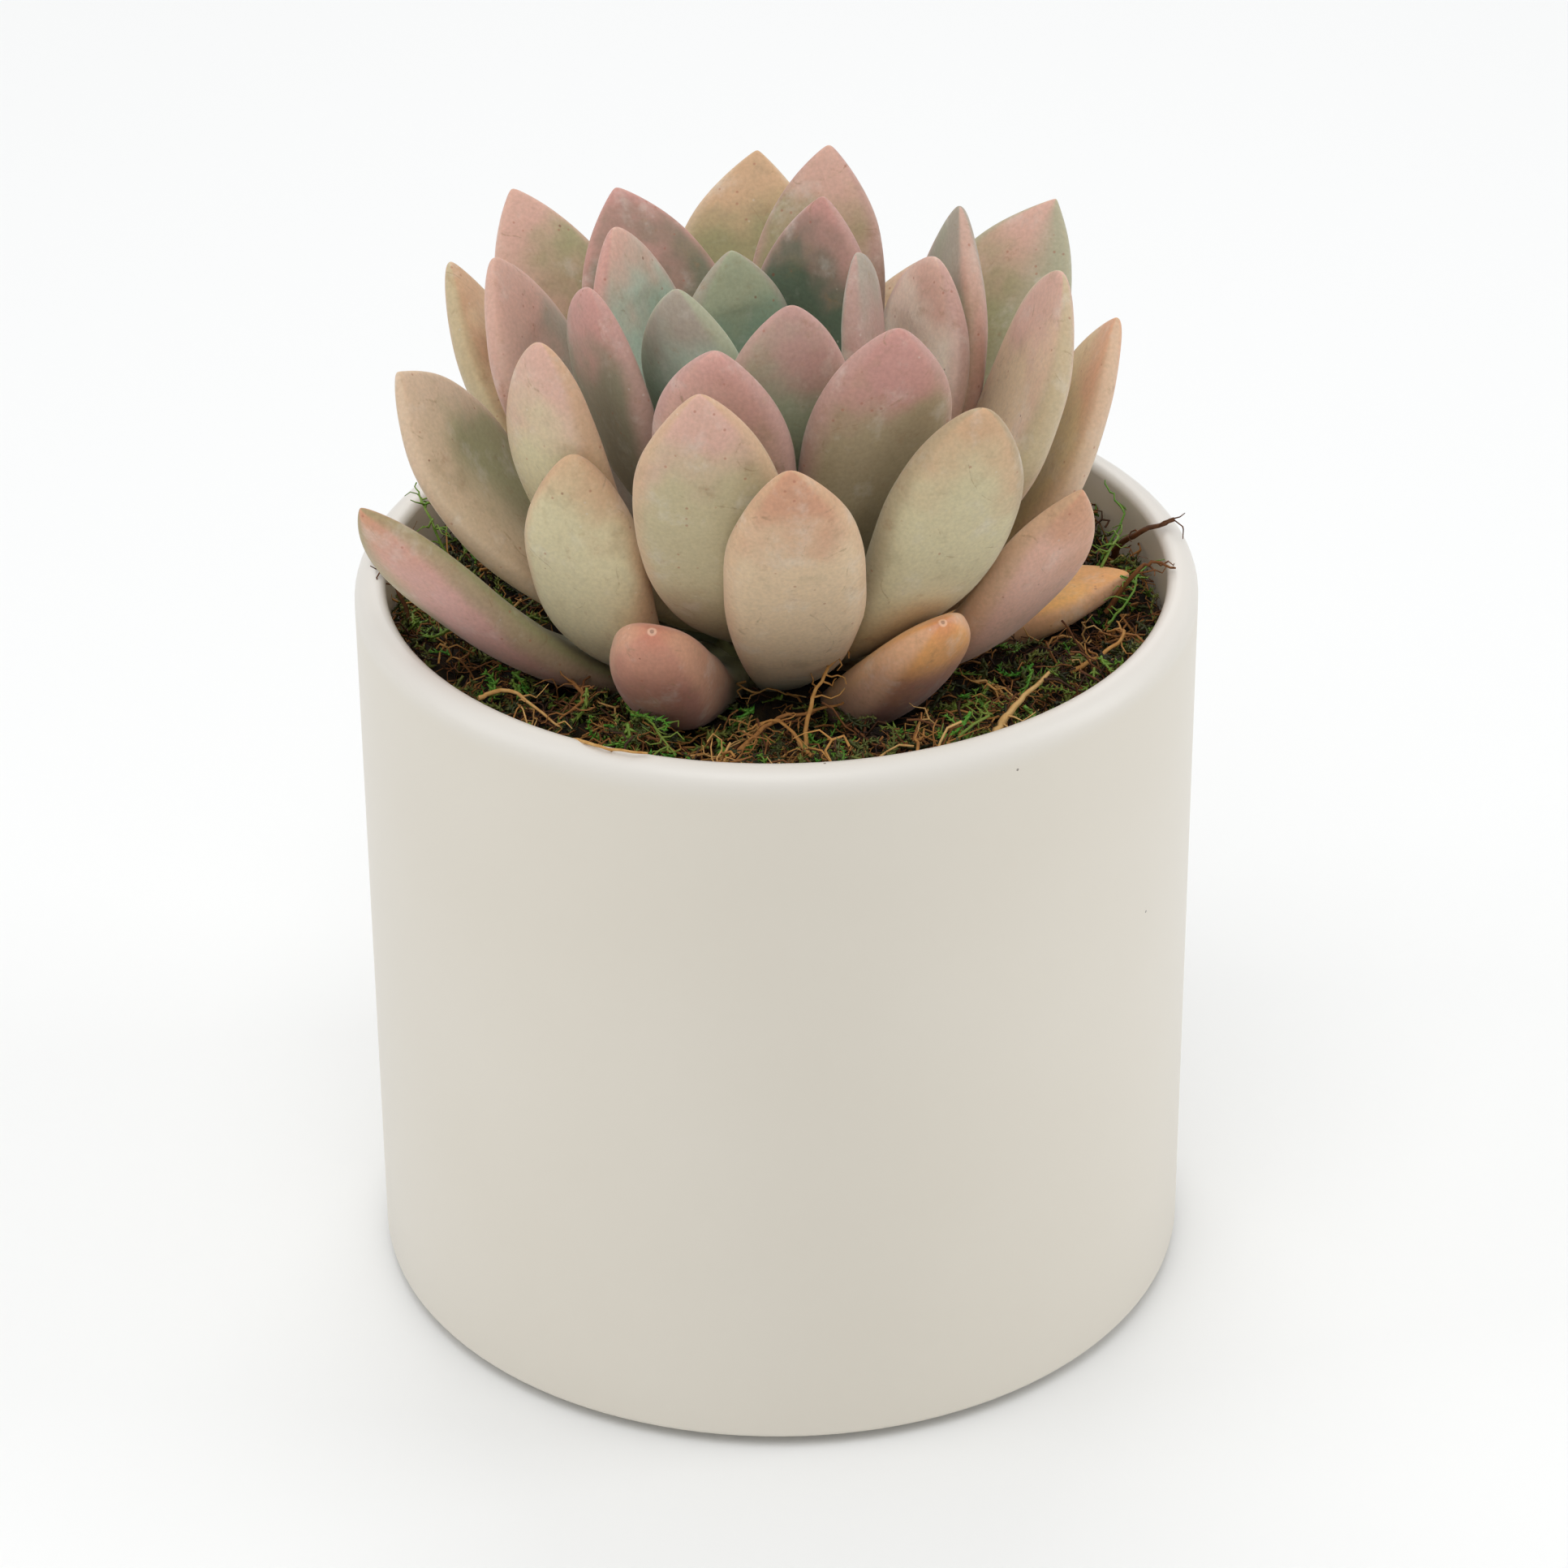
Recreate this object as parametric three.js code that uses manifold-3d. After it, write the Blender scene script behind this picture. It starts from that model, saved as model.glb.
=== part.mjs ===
// A thick-leaved rosette succulent in a glazed cylinder pot.
// Millimetres, +Z up. The origin is on the table under the middle of the pot, and -Y is the front.

import * as THREE from "three";
import { mergeVertices } from "three/addons/utils/BufferGeometryUtils.js";
import Module from "manifold-3d";

const wasm = await Module();
wasm.setup();

// ---------------------------------------------------------------- driving dimensions

// Neighbouring pieces that are cut to each other keep this gap.
const CLEARANCE = 0.3;

// Pot: a straight glazed cylinder with a rounded rim.
const POT_RADIUS = 60;
const POT_HEIGHT = 110;
const POT_WALL = 4.5;
const POT_FLOOR = 6;
const POT_INSIDE_CORNER = 6;
const RIM_OUTER_ROUND = 3;
const RIM_INNER_ROUND = 1.4;
const BASE_ROUND = 1.2;
const ROUND_STEPS = 3;
const POT_SIDES = 48;

// Feet: three clear domed bumpers, flat against the pot and rounded towards the table.
const FOOT_COUNT = 3;
const FOOT_RADIUS = 4;
const FOOT_HEIGHT = 1.5;
const FOOT_CIRCLE = 51;
const FOOT_HEADING = 298;
const FOOT_SIDES = 12;

const POT_BASE_Z = FOOT_HEIGHT;
const RIM_Z = POT_BASE_Z + POT_HEIGHT;
const POT_INSIDE = POT_RADIUS - POT_WALL;

// Filling: soil to well below the rim, and a cover of sheet moss on it.
const SOIL_BELOW_RIM = 20;
const MOSS_BELOW_RIM = 11;
const MOSS_HEAP_AT_FRONT = 4;
const MOSS_RELIEF = 1.5;
const MOSS_RINGS = 6;
const FILLING_SIDES = 40;
const FILLING_RADIUS = POT_INSIDE - CLEARANCE;
const STRAND_COUNT = 20;
const STRAND_THICKNESS = 1.5;
const STRAND_ARCH = 3.2;
const STRAND_STEPS = 4;
const STRAND_SIDES = 4;
const STRAND_SEED = 7;

// Stem: a stout dome on a straight foot that stands in a plain hole in the soil.
const STEM_X = -1.5;
const STEM_Y = -6;
const STEM_RADIUS = 9;
const STEM_WIDEST_BELOW_RIM = 16;
const STEM_DOME = 29;
const STEM_ROOT_BELOW_RIM = 45;
const STEM_SIDES = 20;
const STEM_DOME_STEPS = 5;

// Leaves: each sits a step lower on the stem than the one before it.
const FIRST_LEAF_ABOVE_RIM = 10.3;
const LEAF_STEP = 0.63;
const LEAF_SINK = 1.5;
const BROADEST = 0.62;
const BASE_WIDTH_SHARE = 0.34;
const BASE_THICKNESS_SHARE = 0.5;
const TIP_THINNING = 0.2;
const OUTER_FACE_SHARE = 0.64;
const INNER_FACE_SHARE = 0.36;
const SECTION_FULLNESS = 2.6;
const LEAF_SIDES = 8;
const SPINE_STEPS = 6;
const LEAF_STATIONS = [0, 0.12, 0.26, 0.41, 0.55, 0.69, 0.81, 0.9, 0.965];

// The rosette's rings from the heart outwards, in the order in which their leaves grew.
// A leaf is its heading, its tilt at the tip and how much flatter it leaves the stem, its length and
// width, and how far it rolls and swings sideways by the tip. Angles are in degrees. A stub has two more
// values: how far it stands above its place in the order, and a thickness of its own.
const RINGS = [
  {
    ring: "heart_leaf",
    thickness: 4.4,
    color: "#6f8a74",
    leaves: [
      [110, 97, 0, 17, 8, 0, 0],
      [235, 97, 0, 19, 9, 0, 0],
      [350, 95, 2, 22, 10, 0, 0],
      [165, 96, 4, 25, 12, 0, 0],
      [60, 95, 6, 24, 11, 0, 0],
    ],
  },
  {
    ring: "inner_leaf",
    thickness: 6.4,
    color: "#7c8f7c",
    leaves: [
      [106, 80, 14, 39, 17, 8, 3],
      [282, 82, 22, 47, 18, 0, 0],
      [7, 92, 33, 45.5, 20, -23, 2],
      [225, 75, -8, 47, 18, 11, 0],
      [254, 76, 31, 49, 20, -9, 8],
      [198, 79, 32, 50, 21, 8, 6],
      [143, 74, 20, 49, 21, 6, 5],
      [69, 77, 20, 50, 19, -15, 0],
    ],
  },
  {
    ring: "middle_leaf",
    thickness: 7.2,
    color: "#a8a48e",
    leaves: [
      [20, 82, 45, 49, 22.5, 5, 4],
      [310, 74, 26, 55, 20.5, -22, -9],
      [153, 70, 54, 56.5, 22, -7, 16],
      [37, 85, 72, 59.5, 22.5, -21, -4],
      [-2, 76, 62, 62, 25, 13, 4],
      [111, 55, 22, 59, 23, -7, 15],
      [75, 68, 22, 61, 20, -4, 1],
      [258, 78, 55, 60, 21, 17, -4],
      [208, 82, 62, 59, 17, 21, 9],
    ],
  },
  {
    ring: "outer_leaf",
    thickness: 7.2,
    color: "#c3b095",
    leaves: [
      [154, 61, 48, 62, 19, 18, -7],
      [96, 53, 27, 67, 24.5, 4, -13],
      [47, 52, 32, 69, 24, 16, -6],
      [189, 60, 43, 62, 24.5, -32, 3],
      [12, 69, 68, 64, 25, 2, -11],
      [124, 53, 36, 71, 22.5, -6, 7],
      [61, 54, 31, 56, 21, 2, -2],
      [316, 71, 44, 62, 19.5, -36, -6],
      [216, 84, 82, 54, 17, 26, 29],
    ],
  },
  {
    ring: "low_leaf",
    thickness: 7.2,
    color: "#c9a58c",
    leaves: [
      [108, 38, 42, 50, 21, 0, 0],
      [344, 63, 67, 53, 17.5, -33, -13],
      [281, 68, 36, 61, 19.5, 10, -19],
      [17, 16, 20, 45, 18, -8, -17],
      [59, 36, 42, 50, 21, 0, 0],
      [198, 52, 50, 63, 18.7, 34, 6],
      [143, 38, 43, 50, 21, 0, 0],
      [92, 37, 46, 50, 21, 0, 0],
    ],
  },
  {
    ring: "stub_leaf",
    thickness: 10,
    color: "#b08c80",
    leaves: [
      [315, 49, 22, 39, 16, 8, -15, -2, 9.5],
      [238, 49, 40, 39, 14, -7, 26, 5, 12],
    ],
  },
];

// ---------------------------------------------------------------- shapes and joins

function material(color, roughness, opacity = 1) {
  return new THREE.MeshStandardMaterial({ color, roughness, metalness: 0, opacity, transparent: opacity < 1 });
}

// A closed triangle mesh from a list of points and a list of corner triples.
function meshGeometry(points, triangles) {
  const geometry = new THREE.BufferGeometry();
  geometry.setAttribute("position", new THREE.Float32BufferAttribute(points.flatMap((p) => [p.x, p.y, p.z]), 3));
  geometry.setIndex(triangles);
  return geometry;
}

// Skins a row of rings that each have the same number of points, from a flat first ring to a tip.
function loft(rings, tip) {
  const sides = rings[0].length;
  const triangles = [];
  for (let r = 0; r + 1 < rings.length; r += 1) {
    for (let k = 0; k < sides; k += 1) {
      const a = r * sides + k;
      const b = r * sides + ((k + 1) % sides);
      triangles.push(a, b, b + sides, a, b + sides, a + sides);
    }
  }
  for (let k = 1; k + 1 < sides; k += 1) triangles.push(0, k + 1, k);
  const last = (rings.length - 1) * sides;
  for (let k = 0; k < sides; k += 1) triangles.push(last + k, last + ((k + 1) % sides), last + sides);
  return meshGeometry([...rings.flat(), tip], triangles);
}

// Turns a profile of [radius, height] pairs about the upright axis.
function turned(profile, sides) {
  const points = profile.map(([radius, height]) => new THREE.Vector2(radius, height));
  const geometry = new THREE.LatheGeometry(points, sides);
  geometry.rotateX(Math.PI / 2);
  return geometry;
}

// A round between two directions, as [radius, height] pairs.
function roundPairs(centreRadius, centreHeight, round, fromDegrees, toDegrees) {
  const pairs = [];
  for (let i = 0; i <= ROUND_STEPS; i += 1) {
    const angle = THREE.MathUtils.degToRad(fromDegrees + ((toDegrees - fromDegrees) * i) / ROUND_STEPS);
    pairs.push([centreRadius + round * Math.cos(angle), centreHeight + round * Math.sin(angle)]);
  }
  return pairs;
}

function toSolid(geometry) {
  const plain = geometry.clone();
  for (const name of ["normal", "uv"]) plain.deleteAttribute(name);
  const merged = mergeVertices(plain);
  const mesh = new wasm.Mesh({
    numProp: 3,
    vertProperties: new Float32Array(merged.attributes.position.array),
    triVerts: new Uint32Array(merged.index.array),
  });
  return new wasm.Manifold(mesh);
}

function toGeometry(solid) {
  const mesh = solid.getMesh();
  const geometry = new THREE.BufferGeometry();
  geometry.setAttribute("position", new THREE.BufferAttribute(new Float32Array(mesh.vertProperties), 3));
  geometry.setIndex(Array.from(mesh.triVerts));
  return geometry;
}

// The biggest body of a cut solid: loose scraps are dropped.
function mainBody(solid) {
  return solid.decompose().reduce((best, body) => (body.volume() > best.volume() ? body : best));
}

function asCutter(geometry) {
  const box = new THREE.Box3().setFromBufferAttribute(geometry.attributes.position);
  return { solid: toSolid(geometry), box };
}

// Cuts away every cutter that reaches the solid.
function cutBy(geometry, cutters) {
  const { solid, box } = asCutter(geometry);
  let rest = solid;
  for (const cutter of cutters) {
    if (box.intersectsBox(cutter.box)) rest = rest.subtract(cutter.solid);
  }
  return toGeometry(mainBody(rest));
}

// A repeatable draw between two numbers.
let draws = STRAND_SEED;
function draw(low, high) {
  draws = (draws * 48271) % 2147483647;
  return low + ((high - low) * draws) / 2147483647;
}

// ---------------------------------------------------------------- pot and feet

function potGeometry() {
  const cornerRadius = POT_INSIDE - POT_INSIDE_CORNER;
  const cornerHeight = POT_BASE_Z + POT_FLOOR + POT_INSIDE_CORNER;
  const profile = [
    [0, POT_BASE_Z],
    ...roundPairs(POT_RADIUS - BASE_ROUND, POT_BASE_Z + BASE_ROUND, BASE_ROUND, -90, 0),
    ...roundPairs(POT_RADIUS - RIM_OUTER_ROUND, RIM_Z - RIM_OUTER_ROUND, RIM_OUTER_ROUND, 0, 90),
    ...roundPairs(POT_INSIDE + RIM_INNER_ROUND, RIM_Z - RIM_INNER_ROUND, RIM_INNER_ROUND, 90, 180),
    ...roundPairs(cornerRadius, cornerHeight, POT_INSIDE_CORNER, 0, -90),
    [0, POT_BASE_Z + POT_FLOOR],
  ];
  return turned(profile, POT_SIDES);
}

function footGeometry() {
  const dome = [[0, 0], [0.5, 0], [0.78, 0.2], [0.95, 0.55], [1, 1], [0, 1]];
  return turned(dome.map(([across, up]) => [across * FOOT_RADIUS, up * FOOT_HEIGHT]), FOOT_SIDES);
}

// ---------------------------------------------------------------- stem

function stemRadius(aboveRim) {
  const climb = (aboveRim + STEM_WIDEST_BELOW_RIM) / STEM_DOME;
  return STEM_RADIUS * Math.sqrt(1 - Math.max(climb, 0) ** 2);
}

function stemGeometry(grow) {
  const foot = RIM_Z - STEM_ROOT_BELOW_RIM;
  const widest = RIM_Z - STEM_WIDEST_BELOW_RIM;
  const profile = [[0, foot], [STEM_RADIUS + grow, foot]];
  for (let i = 0; i < STEM_DOME_STEPS; i += 1) {
    const angle = ((i / STEM_DOME_STEPS) * Math.PI) / 2;
    profile.push([(STEM_RADIUS + grow) * Math.cos(angle), widest + (STEM_DOME + grow) * Math.sin(angle)]);
  }
  profile.push([0, widest + STEM_DOME + grow]);
  const geometry = turned(profile, STEM_SIDES);
  geometry.translate(STEM_X, STEM_Y, 0);
  return geometry;
}

// ---------------------------------------------------------------- leaves

// The half width at a share of the leaf's length, as a part of its widest.
function widthShare(along) {
  if (along < BROADEST) {
    const rise = Math.sin((along / BROADEST) * (Math.PI / 2)) ** 1.2;
    return BASE_WIDTH_SHARE + (1 - BASE_WIDTH_SHARE) * rise;
  }
  return 1 - ((along - BROADEST) / (1 - BROADEST)) ** 2.5;
}

// The thickness at a share of the leaf's length, as a part of its thickest.
function thicknessShare(along) {
  if (along < 0.5) {
    const rise = along / 0.5;
    return BASE_THICKNESS_SHARE + (1 - BASE_THICKNESS_SHARE) * rise * rise * (3 - 2 * rise);
  }
  const fall = (along - 0.5) / 0.5;
  return Math.sqrt(1 - fall ** 2.4) * (1 - TIP_THINNING * fall);
}

// The way the leaf runs at a share of its length, with its sideways and inner-face directions.
function leafFrame(leaf, along) {
  const rise = THREE.MathUtils.degToRad(leaf.tilt - leaf.curl * (1 - along) ** 2);
  const turn = THREE.MathUtils.degToRad(leaf.heading + leaf.swing * along);
  const forward = new THREE.Vector3(Math.cos(turn), Math.sin(turn), 0).multiplyScalar(Math.cos(rise));
  forward.z = Math.sin(rise);
  const across = new THREE.Vector3(-Math.sin(turn), Math.cos(turn), 0);
  across.applyAxisAngle(forward, THREE.MathUtils.degToRad(leaf.roll * along));
  const inner = new THREE.Vector3().crossVectors(forward, across);
  return { forward, across, inner };
}

// A sine or cosine that is pushed outwards, so that the section it draws is fuller than an ellipse.
function fuller(wave) {
  return Math.sign(wave) * Math.abs(wave) ** (2 / SECTION_FULLNESS);
}

// One ring of the leaf: thick round margins, a deeper back and a flatter inner face.
function leafSection(centre, frame, halfWidth, thickness, grow) {
  const corners = [];
  for (let k = 0; k < LEAF_SIDES; k += 1) {
    const angle = (k / LEAF_SIDES) * Math.PI * 2 - Math.PI / 2;
    const sideways = fuller(Math.cos(angle)) * (halfWidth + grow);
    const share = Math.sin(angle) > 0 ? INNER_FACE_SHARE : OUTER_FACE_SHARE;
    const depth = fuller(Math.sin(angle)) * share * thickness + Math.sign(Math.sin(angle)) * grow;
    corners.push(centre.clone().addScaledVector(frame.across, sideways).addScaledVector(frame.inner, depth));
  }
  return corners;
}

function leafGeometry(leaf, grow) {
  const headingRadians = THREE.MathUtils.degToRad(leaf.heading);
  const start = stemRadius(leaf.aboveRim);
  const centre = new THREE.Vector3(
    STEM_X + start * Math.cos(headingRadians),
    STEM_Y + start * Math.sin(headingRadians),
    RIM_Z + leaf.aboveRim,
  );
  const section = (along) => {
    const halfWidth = (leaf.width / 2) * widthShare(along);
    return leafSection(centre, leafFrame(leaf, along), halfWidth, leaf.thickness * thicknessShare(along), grow);
  };
  const forwardAtStem = leafFrame(leaf, 0).forward;
  const rings = [section(0).map((corner) => corner.addScaledVector(forwardAtStem, -LEAF_SINK)), section(0)];
  const ends = [...LEAF_STATIONS, 1];
  for (let i = 1; i < ends.length; i += 1) {
    const step = (ends[i] - ends[i - 1]) / SPINE_STEPS;
    for (let s = 0; s < SPINE_STEPS; s += 1) {
      const middle = ends[i - 1] + step * (s + 0.5);
      centre.addScaledVector(leafFrame(leaf, middle).forward, step * leaf.length);
    }
    if (ends[i] < 1) rings.push(section(ends[i]));
  }
  return loft(rings, centre.addScaledVector(leafFrame(leaf, 1).forward, grow));
}

// Every leaf with its name and the height of its foot on the stem.
function listLeaves() {
  const leaves = [];
  for (const { ring, thickness, color, leaves: rows } of RINGS) {
    rows.forEach(([heading, tilt, curl, length, width, roll, swing, lift = 0, ownThickness], i) => {
      const name = `${ring}_${String(i + 1).padStart(2, "0")}`;
      const aboveRim = FIRST_LEAF_ABOVE_RIM - LEAF_STEP * leaves.length + lift;
      const size = { length, width, thickness: ownThickness ?? thickness };
      leaves.push({ name, color, aboveRim, ...size, heading, tilt, curl, roll, swing });
    });
  }
  return leaves;
}

// ---------------------------------------------------------------- soil and moss

function soilGeometry(stemHole) {
  const corner = POT_INSIDE_CORNER + CLEARANCE;
  const floor = POT_BASE_Z + POT_FLOOR;
  const profile = [
    [0, floor],
    ...roundPairs(FILLING_RADIUS - corner, floor + corner, corner, -90, 0),
    [FILLING_RADIUS, RIM_Z - SOIL_BELOW_RIM],
    [0, RIM_Z - SOIL_BELOW_RIM],
  ];
  return cutBy(turned(profile, FILLING_SIDES), [stemHole]);
}

// The moss lies in soft lumps and is heaped up against the front of the pot.
function mossHeight(x, y) {
  const lumps = Math.sin(0.33 * x + 1) * Math.cos(0.29 * y - 0.4) + 0.5 * Math.sin(0.75 * x - 0.5 * y);
  const outwards = THREE.MathUtils.smoothstep(Math.hypot(x, y), FILLING_RADIUS * 0.6, FILLING_RADIUS);
  const frontwards = Math.max(-y / FILLING_RADIUS, 0);
  return RIM_Z - MOSS_BELOW_RIM + MOSS_RELIEF * lumps + MOSS_HEAP_AT_FRONT * outwards * frontwards;
}

function mossBedGeometry() {
  const rings = [];
  const bottom = RIM_Z - SOIL_BELOW_RIM;
  for (let i = 0; i <= MOSS_RINGS; i += 1) {
    const radius = i === 0 ? FILLING_RADIUS : (FILLING_RADIUS * (MOSS_RINGS + 1 - i)) / MOSS_RINGS;
    const ring = [];
    for (let k = 0; k < FILLING_SIDES; k += 1) {
      const angle = (k / FILLING_SIDES) * Math.PI * 2;
      const x = radius * Math.cos(angle);
      const y = radius * Math.sin(angle);
      ring.push(new THREE.Vector3(x, y, i === 0 ? bottom : mossHeight(x, y)));
    }
    rings.push(ring);
  }
  return loft(rings, new THREE.Vector3(0, 0, mossHeight(0, 0)));
}

// One strand: a low arch with both ends sunk in the bed.
function strandGeometry(x, y, heading, span) {
  const rings = [];
  const way = new THREE.Vector3(Math.cos(heading), Math.sin(heading), 0);
  const across = new THREE.Vector3(-way.y, way.x, 0);
  const at = (along) => {
    const centre = new THREE.Vector3(x, y, 0).addScaledVector(way, span * (along - 0.5));
    centre.z = mossHeight(centre.x, centre.y) + STRAND_ARCH * (Math.sin(along * Math.PI) - 0.45);
    return centre;
  };
  for (let i = 0; i < STRAND_STEPS; i += 1) {
    const centre = at(i / STRAND_STEPS);
    const ring = [];
    for (let k = 0; k < STRAND_SIDES; k += 1) {
      const angle = (k / STRAND_SIDES) * Math.PI * 2;
      const corner = centre.clone().addScaledVector(across, (STRAND_THICKNESS / 2) * Math.cos(angle));
      corner.z += (STRAND_THICKNESS / 2) * Math.sin(angle);
      ring.push(corner);
    }
    rings.push(ring);
  }
  return loft(rings, at(1));
}

function mossGeometry(cutters) {
  let solid = toSolid(mossBedGeometry());
  for (let i = 0; i < STRAND_COUNT; i += 1) {
    const turn = (i / STRAND_COUNT) * Math.PI * 2 + draw(-0.1, 0.1);
    const radius = draw(0.5, 0.84) * FILLING_RADIUS;
    const heading = turn + draw(0.25, 0.75) * Math.PI;
    const strand = strandGeometry(radius * Math.cos(turn), radius * Math.sin(turn), heading, draw(9, 16));
    solid = solid.add(toSolid(strand));
  }
  return cutBy(toGeometry(solid), cutters);
}

// ---------------------------------------------------------------- assembly

const plant = new THREE.Group();

function place(name, geometry, finish) {
  const mesh = new THREE.Mesh(geometry, finish);
  mesh.name = name;
  plant.add(mesh);
  return mesh;
}

place("pot", potGeometry(), material("#dcd8cd", 0.35));

for (let i = 0; i < FOOT_COUNT; i += 1) {
  const heading = THREE.MathUtils.degToRad(FOOT_HEADING + (360 / FOOT_COUNT) * i);
  const foot = place(`bumper_foot_${i + 1}`, footGeometry(), material("#e8ecec", 0.15, 0.5));
  foot.position.set(FOOT_CIRCLE * Math.cos(heading), FOOT_CIRCLE * Math.sin(heading), 0);
}

const leaves = listLeaves();
const grownLeaves = leaves.map((leaf) => asCutter(leafGeometry(leaf, CLEARANCE)));
const grownStem = asCutter(stemGeometry(CLEARANCE));

place("stem", stemGeometry(0), material("#8fa07a", 0.6));
leaves.forEach((leaf, i) => {
  const geometry = cutBy(leafGeometry(leaf, 0), [grownStem, ...grownLeaves.slice(0, i)]);
  place(leaf.name, geometry, material(leaf.color, 0.55));
});

place("soil", soilGeometry(grownStem), material("#3a2c22", 0.95));
place("moss", mossGeometry([grownStem, ...grownLeaves]), material("#5d5230", 0.95));

export default plant;
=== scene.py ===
# %% [markdown]
# # A rosette succulent in a glazed pot
# The pot is slip-cast stoneware with a satin glaze. The plant is a rosette of thick leaves that carry a
# powdery wax bloom, and dried sheet moss covers the soil. The solids that carry all of it are loaded as
# a fixed frame, and every piece that is made here takes the place of one of them and keeps its form.

# %% Load the frame
from math import copysign, cos, exp, hypot, pi, radians, sin, sqrt, tau
from random import Random

import bpy
from mathutils import Matrix, Vector, noise
from mathutils.bvhtree import BVHTree


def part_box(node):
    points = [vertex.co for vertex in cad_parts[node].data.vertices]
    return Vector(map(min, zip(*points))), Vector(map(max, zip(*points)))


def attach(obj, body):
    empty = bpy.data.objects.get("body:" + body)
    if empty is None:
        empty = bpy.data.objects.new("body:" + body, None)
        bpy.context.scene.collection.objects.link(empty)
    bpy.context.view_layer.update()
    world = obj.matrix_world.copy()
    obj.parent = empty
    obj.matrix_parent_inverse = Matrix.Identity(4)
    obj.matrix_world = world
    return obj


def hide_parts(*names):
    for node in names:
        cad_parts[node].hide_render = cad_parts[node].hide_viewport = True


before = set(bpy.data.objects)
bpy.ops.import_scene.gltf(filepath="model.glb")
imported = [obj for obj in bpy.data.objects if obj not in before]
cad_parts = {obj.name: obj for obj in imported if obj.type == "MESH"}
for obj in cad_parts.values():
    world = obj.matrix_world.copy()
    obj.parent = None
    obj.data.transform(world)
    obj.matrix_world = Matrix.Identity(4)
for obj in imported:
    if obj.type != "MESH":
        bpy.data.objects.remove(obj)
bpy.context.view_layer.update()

print("nodes in the frame:", len(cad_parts))

# %% [markdown]
# ## Units and the main sizes
# The frame is in metres and a maker thinks in millimetres, so lengths are written in millimetres and
# multiplied once. The pot's box gives its radius, its foot and its rim.

# %% Sizes from the frame
MM = 0.001
POT_LOW, POT_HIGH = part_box("pot")
POT_RADIUS = (POT_HIGH[0] - POT_LOW[0]) / 2
POT_BASE_Z = POT_LOW[2]
RIM_Z = POT_HIGH[2]
POT_WALL = 4.5 * MM
POT_INSIDE = POT_RADIUS - POT_WALL
print("pot radius", round(POT_RADIUS, 4), "rim height", round(RIM_Z, 4))

# %% [markdown]
# ## The camera
# A long lens at arm's length keeps the pot's sides nearly parallel. The pot's rim and base are circles
# on the real thing, and the ellipses that they make in the picture fix how high the camera stands and
# how far away. The camera stays square to the pot, with a slight roll.

# %% Place the camera
FOCAL_LENGTH_MM = 121.3
SENSOR_MM = 36.0
CAMERA_TARGET = Vector((0.88, 0, 75.06)) * MM
CAMERA_DISTANCE = 770.1 * MM
CAMERA_ELEVATION = radians(30.479)
CAMERA_ROLL = radians(0.422)


def make_camera():
    data = bpy.data.cameras.new("camera")
    data.lens = FOCAL_LENGTH_MM
    data.sensor_fit = "HORIZONTAL"
    data.sensor_width = SENSOR_MM
    camera = bpy.data.objects.new("camera", data)
    bpy.context.scene.collection.objects.link(camera)
    back = Vector((0, -cos(CAMERA_ELEVATION), sin(CAMERA_ELEVATION)))
    right = Vector((1, 0, 0))
    turn = Matrix((right, back.cross(right), back)).transposed() @ Matrix.Rotation(-CAMERA_ROLL, 3, "Z")
    camera.matrix_world = Matrix.Translation(CAMERA_TARGET + back * CAMERA_DISTANCE) @ turn.to_4x4()
    bpy.context.scene.camera = camera
    return camera


camera = make_camera()
print("camera at", [round(v, 3) for v in camera.location])

# %% [markdown]
# ## Small helpers for the modelling
# An operator acts on everything that is selected, and loading the frame leaves its nodes selected. So
# each piece starts with nothing selected, and ends with its place in its mesh, its name and material, a
# place under the body, and the frame's nodes that it stands for hidden.


# %% Helpers for pieces
def select_only(*objects):
    bpy.ops.object.select_all(action="DESELECT")
    for obj in objects:
        obj.select_set(True)
    if objects:
        bpy.context.view_layer.objects.active = objects[0]


def edit_all():
    bpy.ops.object.mode_set(mode="EDIT")
    bpy.ops.mesh.select_all(action="SELECT")


def leave_edit_mode():
    bpy.ops.object.mode_set(mode="OBJECT")


def apply_place(obj):
    select_only(obj)
    bpy.ops.object.transform_apply(location=True, rotation=True, scale=True)


def finish_piece(obj, name, material, nodes=()):
    obj.name = name
    obj.data.name = name
    obj.data.materials.clear()
    obj.data.materials.append(material)
    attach(obj, "root")
    if nodes:
        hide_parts(*nodes)
    print(name, len(obj.data.polygons), "faces")
    return obj


def select_parts(obj, kind, test):
    """Selects the vertices, edges or faces that pass the test, and nothing else."""
    leave_edit_mode()
    for parts in (obj.data.vertices, obj.data.edges, obj.data.polygons):
        parts.foreach_set("select", [False] * len(parts))
    for part in {"VERT": obj.data.vertices, "EDGE": obj.data.edges, "FACE": obj.data.polygons}[kind]:
        part.select = test(part)
    bpy.ops.object.mode_set(mode="EDIT")
    bpy.ops.mesh.select_mode(type=kind)


select_only()

# %% [markdown]
# ## Small helpers for the materials
# Colours are read off as sRGB hex values, and the shader wants linear ones, so one function turns them.
# One more adds a node. Its kind comes with what its main menu is set to, then the sockets in use get
# their values in order, or by name, and a node that is given as a value stands for its first output.


# %% Helpers for materials
MAIN_MENU = {"Math": "operation", "VectorMath": "operation", "MapRange": "interpolation_type",
             "Mix": "data_type", "Attribute": "attribute_name"}


def linear(hex_color):
    channels = [int(hex_color[i:i + 2], 16) / 255 for i in (1, 3, 5)]
    return tuple(c / 12.92 if c <= 0.04045 else ((c + 0.055) / 1.055) ** 2.4 for c in channels) + (1.0,)


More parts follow.
